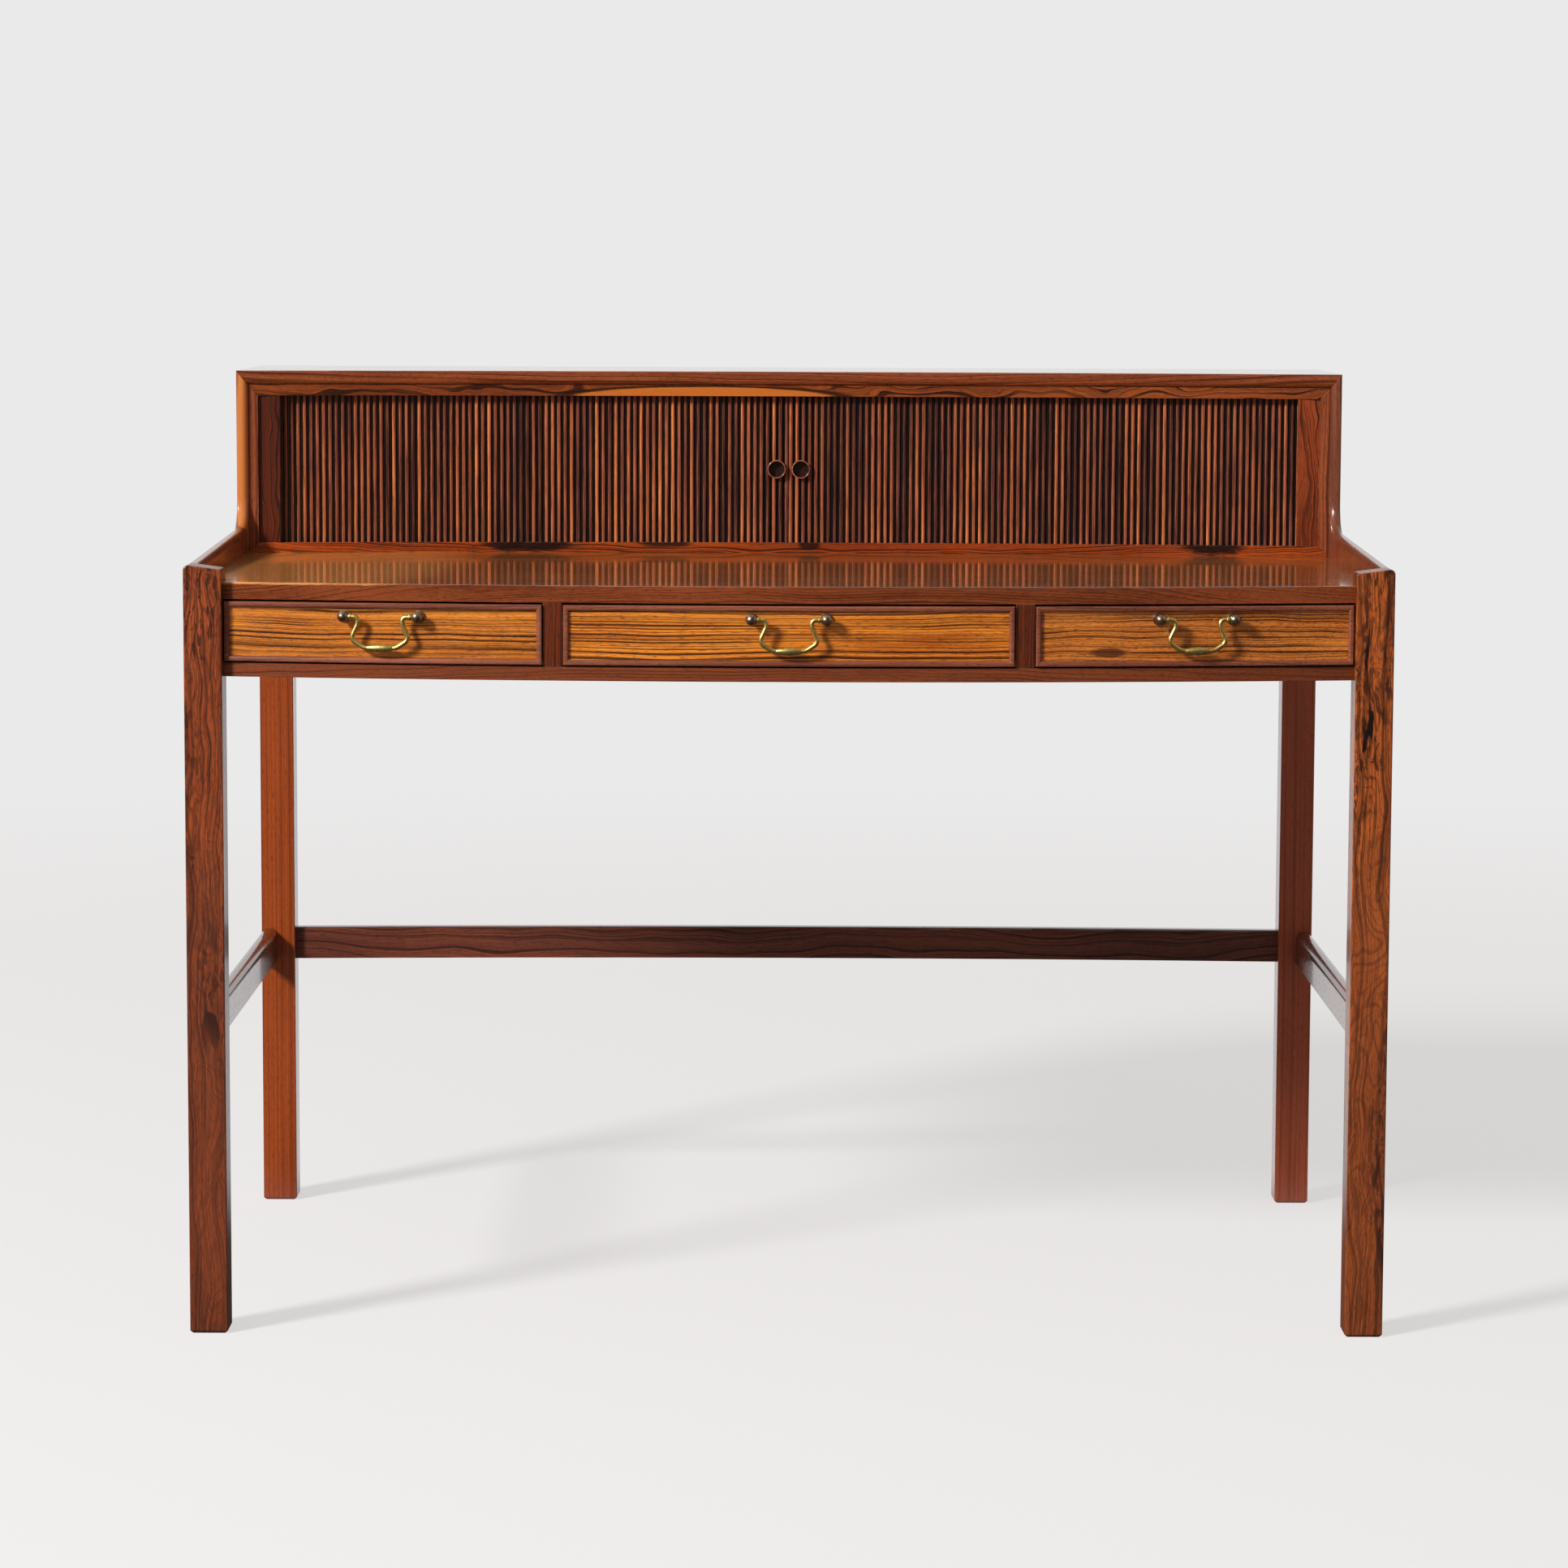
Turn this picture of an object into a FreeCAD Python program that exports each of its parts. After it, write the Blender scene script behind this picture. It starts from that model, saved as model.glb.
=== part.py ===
import FreeCAD, Part
import math
import os
from types import SimpleNamespace

import Sketcher
from FreeCAD import Placement, Rotation, Vector

# Tambour desk: bowed front with three drawers, gallery sides swept up into a case with two tambour doors.
# X runs to the right as seen from the front, Y to the back, Z up from the floor, in millimetres.

SIZES = {
    # Overall
    "width": 1200.0,
    "side_depth": 722.0,
    "table_height": 757.0,
    "case_rise": 198.0,
    # Legs and their feet
    "leg": 38.0,
    "leg_edge_round": 1.5,
    "foot_chamfer": 3.0,
    "post_rise": 17.7,
    "post_fall": 5.0,
    "post_outer_round": 5.0,
    "post_inner_round": 2.5,
    # Stretchers
    "stretcher_underside": 279.0,
    "stretcher_height": 36.0,
    "side_stretcher_width": 18.0,
    "side_stretcher_round": 8.0,
    "back_stretcher_thickness": 16.0,
    "back_stretcher_setback": 11.0,
    "back_stretcher_bow": 16.0,
    "back_stretcher_round": 3.0,
    # Table top and the bowed front under it
    "top_thickness": 17.0,
    "top_edge_round": 1.5,
    "front_setback": 12.0,
    "front_bow": 43.0,
    "apron_height": 77.0,
    "rail_height": 14.0,
    "rail_depth": 22.0,
    "divider_centre": 233.0,
    "divider_thickness": 19.0,
    "apron_back_thickness": 14.0,
    "apron_back_inset": 4.0,
    # Gallery and case
    "side_thickness": 12.0,
    "side_edge_round": 2.0,
    "inner_edge_round": 7.0,
    "gallery_front": 15.5,
    "gallery_rise": 11.5,
    "sweep_radius": 32.0,
    "case_setback": 475.0,
    "case_top_thickness": 15.0,
    "case_back_thickness": 8.0,
    "case_back_inset": 2.0,
    # Frame of the tambour front, concave in plan
    "frame_setback": 7.0,
    "case_overhang": 5.0,
    "frame_bow": 34.0,
    "frame_depth": 8.0,
    "sill_height": 11.0,
    "head_height": 12.0,
    "strip_width": 10.7,
    "stile_width": 23.3,
    "stile_thickness": 5.0,
    "stile_setback": 4.0,
    # Track and inner boards
    "track_lip": 2.0,
    "track_width": 6.2,
    "track_depth": 6.0,
    "track_side_gap": 6.0,
    "track_corner": 14.0,
    "track_back_gap": 7.0,
    "lining_thickness": 6.0,
    "lining_inset": 1.0,
    "lining_back_setback": 28.0,
    "lining_front_gap": 2.0,
    # Tambour doors
    "curtain_overlap": 6.8,
    "slat_gap": 0.7,
    "slat_base": 1.5,
    "slat_bead": 3.0,
    "reed_width": 3.9,
    "reed_crown": 1.6,
    "slat_end_gap": 0.3,
    "slat_front_gap": 0.5,
    "slat_count": 77,
    "lead_reeds": 4,
    "meeting_gap": 0.6,
    "canvas_thickness": 0.6,
    "canvas_gap": 0.05,
    "pull_radius": 10.0,
    "pull_wall": 1.4,
    "pull_height": 9.0,
    "pull_cup_depth": 7.2,
    "pull_centre": 13.3,
    "pull_rim_round": 0.6,
    # Drawers
    "drawer_side_gap": 1.0,
    "drawer_lower_gap": 1.5,
    "drawer_upper_gap": 2.0,
    "drawer_front_thickness": 20.0,
    "drawer_wall": 10.0,
    "drawer_wall_inset": 0.5,
    "drawer_wall_lift": 1.5,
    "drawer_wall_height": 48.0,
    "drawer_bottom_lift": 3.5,
    "drawer_bottom_thickness": 4.0,
    "drawer_back_drop": 3.0,
    "drawer_stop_gap": 1.5,
    "bead_width": 5.5,
    "bead_proud": 3.5,
    "bead_inner_round": 2.5,
    "bead_outer_round": 1.0,
    # Runners
    "runner_width": 14.0,
    "runner_height": 10.0,
    "runner_gap": 0.3,
    "runner_setback": 40.0,
    "guide_height": 20.0,
    # Handles
    "handle_spacing": 74.0,
    "handle_drop": 13.0,
    "stud_shank_radius": 2.2,
    "stud_hole_gap": 0.2,
    "stud_rose_radius": 6.2,
    "stud_rose_thickness": 1.8,
    "stud_neck_radius": 2.8,
    "stud_reach": 11.0,
    "stud_ball_radius": 5.8,
    "stud_shank_tail": 2.0,
    "pin_gap": 0.3,
    "pin_depth": 3.4,
    "bail_wire_radius": 2.4,
    "bail_collar_radius": 3.3,
    "bail_collar_length": 1.8,
    "bail_collar_gap": 0.4,
    "bail_neck": 22.3,
    "bail_neck_drop": 7.0,
    "bail_bulge": 29.3,
    "bail_bulge_drop": 22.0,
    "bail_heel": 16.0,
    "bail_drop": 30.8,
    "bail_neck_round": 4.0,
    "bail_shoulder_round": 8.0,
    "bail_bulge_round": 6.5,
    "bail_heel_round": 14.0,
    "grip_radius": 4.2,
    "grip_half_length": 14.0,
}


class Size:
    """A length that carries its value and the sheet expression that it comes from."""

    def __init__(self, value, text):
        self.value = float(value)
        self.text = text

    def __add__(self, other):
        other = as_size(other)
        return Size(self.value + other.value, f"({self.text} + {other.text})")

    def __sub__(self, other):
        other = as_size(other)
        return Size(self.value - other.value, f"({self.text} - {other.text})")

    def __mul__(self, other):
        other = as_size(other)
        return Size(self.value * other.value, f"({self.text} * {other.text})")

    def __truediv__(self, other):
        other = as_size(other)
        return Size(self.value / other.value, f"({self.text} / {other.text})")

    def __neg__(self):
        return Size(-self.value, f"(0 - {self.text})")

    def __float__(self):
        return self.value

    def root(self):
        """Square root, for circles through known points."""
        return Size(math.sqrt(self.value), f"sqrt({self.text})")


def as_size(value):
    return value if isinstance(value, Size) else Size(value, repr(float(value)))


doc = FreeCAD.newDocument("tambour_desk")
sheet = doc.addObject("Spreadsheet::Sheet", "Sizes")
for row, (alias, number) in enumerate(SIZES.items(), start=1):
    sheet.set(f"A{row}", alias)
    sheet.set(f"B{row}", str(number))
    sheet.setAlias(f"B{row}", alias)
doc.recompute()
S = SimpleNamespace(**{alias: Size(number, f"Sizes.{alias}") for alias, number in SIZES.items()})
NODES = []
# Flats that make up a quarter round of the drawers' beads
EASE_FACETS = 4


# Building blocks


def bind(item, prop, size):
    item.setExpression(prop, as_size(size).text)


def place(item, x=0, y=0, z=0):
    """Ties a piece's position to the sheet."""
    for axis, size in (("x", x), ("y", y), ("z", z)):
        bind(item, f"Placement.Base.{axis}", size)


def keep(item, label):
    """Names a finished sub-part."""
    item.Label = label
    NODES.append(item)
    return item


def board(label, x, y, z):
    """A plain board between two limits on each axis."""
    item = doc.addObject("Part::Box", label)
    bind(item, "Length", x[1] - x[0])
    bind(item, "Width", y[1] - y[0])
    bind(item, "Height", z[1] - z[0])
    place(item, x[0], y[0], z[0])
    return item


def kept_board(label, x, y, z):
    return keep(board(label, x, y, z), label)


def new_body(label):
    return doc.addObject("PartDesign::Body", label)


def plane_of(body, role):
    return next(item for item in body.Origin.OriginFeatures if item.Role == role)


def arc_edge(start, end, radius):
    """Arc between two points, turning left for a positive radius and right for a negative one."""
    chord = end - start
    side = Vector(-chord.y, chord.x, 0).normalize()
    rise = math.sqrt(max(radius * radius - chord.Length * chord.Length / 4, 0.0))
    centre = (start + end) * 0.5 + side * math.copysign(rise, radius)
    first, last = (start, end) if radius > 0 else (end, start)
    begin = math.atan2(first.y - centre.y, first.x - centre.x)
    finish = math.atan2(last.y - centre.y, last.x - centre.x)
    return Part.ArcOfCircle(Part.Circle(centre, Vector(0, 0, 1), abs(radius)), begin, finish)


def add_loop(sketch, corners):
    """Closed outline of (x, y) corners; a third value is the radius of the arc to the next corner."""
    ends = []
    points = [Vector(float(corner[0]), float(corner[1]), 0) for corner in corners]
    for index, corner in enumerate(corners):
        start = points[index]
        end = points[(index + 1) % len(points)]
        if len(corner) == 2:
            edge = sketch.addGeometry(Part.LineSegment(start, end), False)
            ends.append((edge, 1, 2))
        else:
            radius = as_size(corner[2])
            edge = sketch.addGeometry(arc_edge(start, end, radius.value), False)
            ends.append((edge, 1, 2) if radius.value > 0 else (edge, 2, 1))
            size = radius if radius.value > 0 else -radius
            rule = sketch.addConstraint(Sketcher.Constraint("Radius", edge, size.value))
            bind(sketch, f"Constraints[{rule}]", size)
    for index, (edge, first, _) in enumerate(ends):
        before, _, last = ends[index - 1]
        sketch.addConstraint(Sketcher.Constraint("Coincident", before, last, edge, first))
        for kind, size in zip(("DistanceX", "DistanceY"), corners[index]):
            size = as_size(size)
            rule = sketch.addConstraint(Sketcher.Constraint(kind, -1, 1, edge, first, size.value))
            bind(sketch, f"Constraints[{rule}]", size)


def new_sketch(body, role, *loops, offset=None):
    sketch = body.newObject("Sketcher::SketchObject", body.Name + "_outline")
    sketch.AttachmentSupport = (plane_of(body, role), [""])
    sketch.MapMode = "FlatFace"
    if offset is not None:
        sketch.AttachmentOffset = offset
    for corners in loops:
        add_loop(sketch, corners)
    return sketch


def add_circles(sketch, centres, radius):
    """Round outlines of one radius about points of the sketch."""
    for x, y in centres:
        middle = Vector(float(x), float(y), 0)
        edge = sketch.addGeometry(Part.Circle(middle, Vector(0, 0, 1), float(radius)), False)
        rule = sketch.addConstraint(Sketcher.Constraint("Radius", edge, float(radius)))
        bind(sketch, f"Constraints[{rule}]", radius)
        for kind, size in (("DistanceX", as_size(x)), ("DistanceY", as_size(y))):
            rule = sketch.addConstraint(Sketcher.Constraint(kind, -1, 1, edge, 3, size.value))
            bind(sketch, f"Constraints[{rule}]", size)


def pad(body, sketch, length):
    feature = body.newObject("PartDesign::Pad", body.Name + "_pad")
    feature.Profile = sketch
    bind(feature, "Length", length)
    doc.recompute()
    return feature


def pocket(body, sketch, length=None, reverse=False):
    """Cuts a sketch to a depth, or right through both ways if there is none."""
    before = body.Shape.Volume
    feature = body.newObject("PartDesign::Pocket", body.Name + "_pocket")
    feature.Profile = sketch
    if length is None:
        feature.Type = "ThroughAll"
        feature.Midplane = True
    else:
        bind(feature, "Length", length)
        feature.Reversed = reverse
    doc.recompute()
    if not body.Shape.Volume < before:
        raise ValueError(f"{body.Label}: the pocket removes nothing")
    return feature


def revolve(body, sketch, axis):
    feature = body.newObject("PartDesign::Revolution", body.Name + "_turned")
    feature.Profile = sketch
    feature.ReferenceAxis = (sketch, [axis])
    feature.Angle = 360
    doc.recompute()
    return feature


def turned(body, kind, centre, facing, angle, *loops):
    """Adds or cuts sections of (radius, height), turned about an upright axis on the middle plane."""
    way = Rotation(Vector(0, 1, 0), facing)
    sketch = new_sketch(body, "XZ_Plane", *loops, offset=Placement(Vector(0, 0, -float(centre)), way))
    feature = body.newObject(f"PartDesign::{kind}", f"{body.Name}_{kind.lower()}")
    feature.Profile = sketch
    feature.ReferenceAxis = (sketch, ["V_Axis"])
    feature.Midplane = True
    feature.Angle = angle
    doc.recompute()
    return feature


def eased(radius, reach):
    """Points of a quarter round from its crown to its foot, as (out of the face, along it) pairs."""
    pairs = []
    for step in range(EASE_FACETS + 1):
        angle = math.pi / 2 * step / EASE_FACETS
        pairs.append((radius * math.cos(angle), reach + radius * math.sin(angle)))
    return pairs


def dress(body, kind, size, test):
    """Rounds or bevels the edges whose middle point passes a test."""
    base = body.Tip
    names = []
    for number, edge in enumerate(base.Shape.Edges, start=1):
        middle = edge.valueAt((edge.FirstParameter + edge.LastParameter) / 2)
        if test(middle, edge):
            names.append(f"Edge{number}")
    feature = body.newObject(f"PartDesign::{kind}", f"{body.Name}_{kind.lower()}")
    feature.Base = (base, names)
    bind(feature, "Radius" if kind == "Fillet" else "Size", size)
    doc.recompute()
    return feature


def near(value, size, tolerance=0.01):
    return abs(value - float(size)) < tolerance


def arc_radius(half_chord, rise):
    """Radius of the arc that rises by so much over a chord."""
    return (half_chord * half_chord + rise * rise) / (rise * 2)


def both_sides():
    """The two hands of a mirrored pair, with the sign of X."""
    return (("left", -1), ("right", 1))


def span(sign, inner, outer):
    """Limits in X of a piece on one side of the middle, lower one first."""
    return (inner, outer) if sign > 0 else (-outer, -inner)


# Planes and circles that several pieces share

half = S.width / 2
leg_inner = half - S.leg
side_inner = half - S.side_thickness
handle_reach = S.stud_reach + S.stud_ball_radius
front_reach = S.front_bow - S.front_setback + handle_reach
back_leg_front = S.side_depth - S.leg
back_reach = back_leg_front + S.back_stretcher_setback + S.back_stretcher_bow + S.back_stretcher_thickness
front = (front_reach - back_reach) / 2
post_back = front + S.leg
leg_front = front + back_leg_front
back = front + S.side_depth
top_under = S.table_height - S.top_thickness
apron_bottom = top_under - S.apron_height
rail_top = apron_bottom + S.rail_height

bow_ends = front + S.front_setback
bow_radius = arc_radius(leg_inner, S.front_bow)
bow_centre = bow_ends - S.front_bow + bow_radius

case_front = front + S.case_setback
case_height = S.table_height + S.case_rise
ceiling = case_height - S.case_top_thickness
frame_ends = case_front + S.frame_setback
frame_radius = arc_radius(side_inner, S.frame_bow)
frame_centre = frame_ends + S.frame_bow - frame_radius
sill_top = S.table_height + S.sill_height
head_under = ceiling - S.head_height
strip_inner = side_inner - S.strip_width
stile_inner = strip_inner - S.stile_width
lining_end = stile_inner - S.lining_inset
track_side = side_inner - S.track_side_gap
case_back_front = back - S.case_back_inset - S.case_back_thickness
lining_back = back - S.lining_back_setback
apron_front = back - S.apron_back_inset - S.apron_back_thickness

slat_thickness = S.slat_base + S.slat_bead
track_front = frame_radius + S.frame_depth + S.track_lip
slat_crest = track_front + S.slat_front_gap
slat_back = slat_crest + slat_thickness
lead_inner = S.meeting_gap / 2
curtain_end = stile_inner + S.curtain_overlap
reed_middle = S.reed_width / 2
slat_pitch = (curtain_end - lead_inner - reed_middle) / (S.slat_count + S.lead_reeds - 0.5)
slat_width = slat_pitch - S.slat_gap
slat_bottom = sill_top - S.track_depth + S.slat_end_gap
slat_top = head_under + S.track_depth - S.slat_end_gap
slat_height = slat_top - slat_bottom
lead_outer = lead_inner + reed_middle + slat_pitch * (S.lead_reeds - 0.5)


def bow_y(x, radius):
    """Y on a circle about the bow's centre, on its front side."""
    return bow_centre - (radius * radius - x * x).root()


def frame_y(x, radius):
    """Y on a circle about the centre of the tambour's curve, on its back side."""
    return frame_centre + (radius * radius - x * x).root()


def bow_outline(x0, x1, front_radius, back_radius=None, back_y=None):
    """Plan of a piece whose front follows the bow, with a concentric or a straight back."""
    right = bow_y(x1, back_radius) if back_y is None else back_y
    left = bow_y(x0, back_radius) if back_y is None else back_y
    rear = (x1, right) if back_y is not None else (x1, right, -back_radius)
    return [(x0, bow_y(x0, front_radius), front_radius), (x1, bow_y(x1, front_radius)), rear, (x0, left)]


def frame_outline(x, front_radius, back_radius=None, back_y=None):
    """Plan of a piece as wide on both sides whose front follows the tambour's curve."""
    rear = (x, frame_y(x, back_radius), back_radius) if back_y is None else (x, back_y)
    left = frame_y(x, back_radius) if back_y is None else back_y
    return [(-x, frame_y(x, front_radius), -front_radius), (x, frame_y(x, front_radius)), rear, (-x, left)]


def plan_piece(label, outline, z0, z1):
    """A body raised from a plan between two heights."""
    body = new_body(label)
    pad(body, new_sketch(body, "XY_Plane", outline), z1 - z0)
    place(body, z=z0)
    return body


# Legs and stretchers


def front_leg(label, sign):
    """Post whose top falls towards the inside, with tangent rounds at both upper corners."""
    outer = half * sign
    inner = leg_inner * sign
    tall = S.table_height + S.post_rise
    slant = (S.leg * S.leg + S.post_fall * S.post_fall).root()
    across = S.leg / slant * sign
    down = S.post_fall / slant
    outer_cut = S.post_outer_round * (slant + S.post_fall) / S.leg
    inner_cut = S.post_inner_round * (slant - S.post_fall) / S.leg
    corners = [
        (outer, 0),
        (outer, tall - outer_cut, S.post_outer_round * sign),
        (outer - across * outer_cut, tall - down * outer_cut),
        (inner + across * inner_cut, tall - S.post_fall + down * inner_cut, S.post_inner_round * sign),
        (inner, tall - S.post_fall - inner_cut),
        (inner, 0),
    ]
    body = new_body(label)
    pad(body, new_sketch(body, "XZ_Plane", corners), S.leg)
    place(body, y=post_back)
    finish_leg(body, lambda p, edge: edge.BoundBox.YLength < 0.01)


def back_leg(label, sign):
    x0, x1 = span(sign, leg_inner, half)
    body = new_body(label)
    pad(body, new_sketch(body, "XZ_Plane", [(x0, 0), (x1, 0), (x1, top_under), (x0, top_under)]), S.leg)
    place(body, y=back)
    finish_leg(body, lambda p, edge: upright(edge))


def finish_leg(body, eased):
    """Bevels the foot and eases the edges that pass a test."""
    dress(body, "Chamfer", S.foot_chamfer, lambda p, edge: near(p.z, 0))
    foot = float(S.foot_chamfer) + 0.01
    dress(body, "Fillet", S.leg_edge_round, lambda p, edge: p.z > foot and eased(p, edge))
    keep(body, body.Name)


def upright(edge):
    box = edge.BoundBox
    return box.XLength < 0.01 and box.YLength < 0.01


def long_edge(edge):
    """Edges that run along a rail, not across its end."""
    return edge.Length > 2 * float(S.leg)


def side_stretcher(label, sign):
    """Rail between the legs of one end, its upper edges fully rounded."""
    x0, x1 = span(sign, half - S.side_stretcher_width, half)
    low = S.stretcher_underside
    high = low + S.stretcher_height
    body = new_body(label)
    sketch = new_sketch(body, "XZ_Plane", [(x0, low), (x1, low), (x1, high), (x0, high)])
    pad(body, sketch, leg_front - post_back)
    place(body, y=leg_front)
    dress(body, "Fillet", S.side_stretcher_round, lambda p, edge: near(p.z, high) and long_edge(edge))
    keep(body, label)


def back_stretcher(label):
    """Rail between the back legs, bowed to the rear."""
    y = leg_front + S.back_stretcher_setback
    radius = arc_radius(leg_inner, S.back_stretcher_bow)
    rear = y + S.back_stretcher_thickness
    outline = [(-leg_inner, y, -radius), (leg_inner, y), (leg_inner, rear, radius), (-leg_inner, rear)]
    high = S.stretcher_underside + S.stretcher_height
    body = plan_piece(label, outline, S.stretcher_underside, high)
    top = S.stretcher_height
    dress(body, "Fillet", S.back_stretcher_round, lambda p, edge: near(p.z, top) and long_edge(edge))
    keep(body, label)


for hand, sign in both_sides():
    front_leg(f"leg_front_{hand}", sign)
    back_leg(f"leg_back_{hand}", sign)
    side_stretcher(f"stretcher_{hand}", sign)
back_stretcher("stretcher_back")


# Table top and the carcass for the drawers


def table_top(label):
    corners = [
        (-leg_inner, bow_ends, bow_radius),
        (leg_inner, bow_ends),
        (leg_inner, post_back),
        (side_inner, post_back),
        (side_inner, back),
        (-side_inner, back),
        (-side_inner, post_back),
        (-leg_inner, post_back),
    ]
    body = plan_piece(label, corners, top_under, S.table_height)
    dress(
        body,
        "Fillet",
        S.top_edge_round,
        lambda p, edge: near(p.z, S.top_thickness) and p.y < float(bow_ends) and long_edge(edge),
    )
    keep(body, label)


def divider(label, sign):
    """Full-depth board between two drawers, notched over the bottom rail."""
    x0 = S.divider_centre * sign - S.divider_thickness / 2
    x1 = S.divider_centre * sign + S.divider_thickness / 2
    body = plan_piece(label, bow_outline(x0, x1, bow_radius, back_y=apron_front), apron_bottom, top_under)
    notch = bow_outline(x0, x1, bow_radius, bow_radius - S.rail_depth)
    pocket(body, new_sketch(body, "XY_Plane", notch), S.rail_height, reverse=True)
    keep(body, label)


def runners(label):
    """Strips under the drawer sides; the two outer ones guide the drawer as well."""
    top = drawer_bottom + S.drawer_wall_lift - S.runner_gap
    low = top - S.runner_height
    y = (front + S.runner_setback, apron_front)
    pieces = []
    for hand, sign in both_sides():
        near_face = S.divider_centre - S.divider_thickness / 2
        far_face = S.divider_centre + S.divider_thickness / 2
        for inner, outer in ((near_face - S.runner_width, near_face), (far_face, far_face + S.runner_width)):
            pieces.append(board(f"{label}_{hand}", span(sign, inner, outer), y, (low, top)))
        inner = leg_inner - S.drawer_side_gap - S.runner_width
        profile = [
            (side_inner * sign, low),
            (inner * sign, low),
            (inner * sign, top),
            (leg_inner * sign, top),
            (leg_inner * sign, top + S.guide_height),
            (side_inner * sign, top + S.guide_height),
        ]
        body = new_body(f"{label}_guide_{hand}")
        pad(body, new_sketch(body, "XZ_Plane", profile), leg_front - (front + S.runner_setback))
        place(body, y=leg_front)
        pieces.append(body)
    group = doc.addObject("Part::Compound", label)
    group.Links = pieces
    keep(group, label)


drawer_bottom = rail_top + S.drawer_lower_gap
drawer_top = top_under - S.drawer_upper_gap

table_top("table_top")
rail_plan = bow_outline(-leg_inner, leg_inner, bow_radius, bow_radius - S.rail_depth)
keep(plan_piece("front_rail", rail_plan, apron_bottom, rail_top), "front_rail")
for hand, sign in both_sides():
    divider(f"divider_{hand}", sign)
apron_span = (apron_front, apron_front + S.apron_back_thickness)
kept_board("apron_back", (-leg_inner, leg_inner), apron_span, (apron_bottom, top_under))
runners("drawer_runners")


# Side boards and the case


def side_board(label, sign):
    """Gallery rail swept up into the end of the case, in one board from the apron to the case top."""
    run = S.case_setback - S.sweep_radius - S.leg
    length = (run * run + S.gallery_rise * S.gallery_rise).root()
    sweep_low = S.table_height + S.gallery_front + S.gallery_rise
    turn_y = case_front - S.sweep_radius + S.sweep_radius * S.gallery_rise / length
    turn_z = sweep_low + S.gallery_rise * S.gallery_rise / length * S.sweep_radius / run
    sweep_high = turn_z + S.sweep_radius * run / length
    corners = [
        (post_back, apron_bottom),
        (leg_front, apron_bottom),
        (leg_front, top_under),
        (back, top_under),
        (back, case_height),
        (case_front, case_height),
        (case_front, sweep_high, -S.sweep_radius),
        (turn_y, turn_z),
        (post_back, S.table_height + S.gallery_front),
    ]
    x0, _ = span(sign, side_inner, half)
    body = new_body(label)
    pad(body, new_sketch(body, "YZ_Plane", corners), S.side_thickness)
    mitre_near = side_inner - x0 if sign > 0 else -side_inner - x0
    mitre_far = half - x0 if sign > 0 else -half - x0
    mitre = [(mitre_near, ceiling), (mitre_far, case_height), (mitre_near, case_height)]
    pocket(body, new_sketch(body, "XZ_Plane", mitre))
    place(body, x=x0)
    gallery_low = float(S.table_height + S.gallery_front)

    def front_edge(p, edge):
        """Upper and front edges of both faces, from the post to the case top."""
        return edge.BoundBox.XLength < 0.01 and p.z > gallery_low and p.y < float(case_front) + 0.01

    inner_x, outer_x = (0, S.side_thickness)[::sign]
    dress(body, "Fillet", S.inner_edge_round, lambda p, edge: front_edge(p, edge) and near(p.x, inner_x))
    dress(body, "Fillet", S.side_edge_round, lambda p, edge: front_edge(p, edge) and near(p.x, outer_x))
    keep(body, label)


def case_top(label):
    """Top of the case, mitred to the side boards, with a front edge that follows the tambour's curve."""
    corners = [(-half, case_height), (-side_inner, ceiling), (side_inner, ceiling), (half, case_height)]
    depth = back - case_front
    body = new_body(label)
    pad(body, new_sketch(body, "XZ_Plane", corners), depth)
    edge_radius = frame_radius - S.case_overhang
    clear = case_front - frame_centre - S.case_overhang
    lap = S.case_overhang
    lower = edge_radius + S.inner_edge_round
    upper = edge_radius + S.side_edge_round
    hollow = [(clear, ceiling - lap), (lower, ceiling - lap)]
    for out, along in reversed(eased(S.inner_edge_round, as_size(0))):
        hollow.append((lower - out, ceiling + S.inner_edge_round - along))
    for out, height in eased(S.side_edge_round, case_height - S.side_edge_round):
        hollow.append((upper - out, height))
    hollow += [(upper, case_height + lap), (clear, case_height + lap)]
    sweep = 2 * math.degrees(math.asin(float(half / clear)))
    turned(body, "Groove", frame_centre - back, 90, sweep, hollow)
    place(body, y=back)
    keep(body, label)


def frame_rail(label, low, high, outer_edge):
    """Concave rail of the tambour frame, mitred to the end strips."""
    body = plan_piece(label, frame_outline(side_inner, frame_radius, frame_radius + S.frame_depth), low, high)
    inner_edge = high - low if outer_edge is low else as_size(0)
    wide_edge = as_size(0) if outer_edge is low else high - low
    mitres = []
    for _, sign in both_sides():
        wide = side_inner * sign
        mitres.append([(wide, wide_edge), (wide, inner_edge), (strip_inner * sign, inner_edge)])
    pocket(body, new_sketch(body, "XZ_Plane", *mitres))
    keep(body, label)


def end_strip(label, sign):
    """Upright of the tambour frame, mitred to the head and the sill."""
    outer = side_inner * sign
    inner = strip_inner * sign
    corners = [(outer, S.table_height), (outer, ceiling), (inner, head_under), (inner, sill_top)]
    body = new_body(label)
    pad(body, new_sketch(body, "XZ_Plane", corners), S.frame_depth)
    place(body, y=frame_ends + S.frame_depth)
    keep(body, label)


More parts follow.
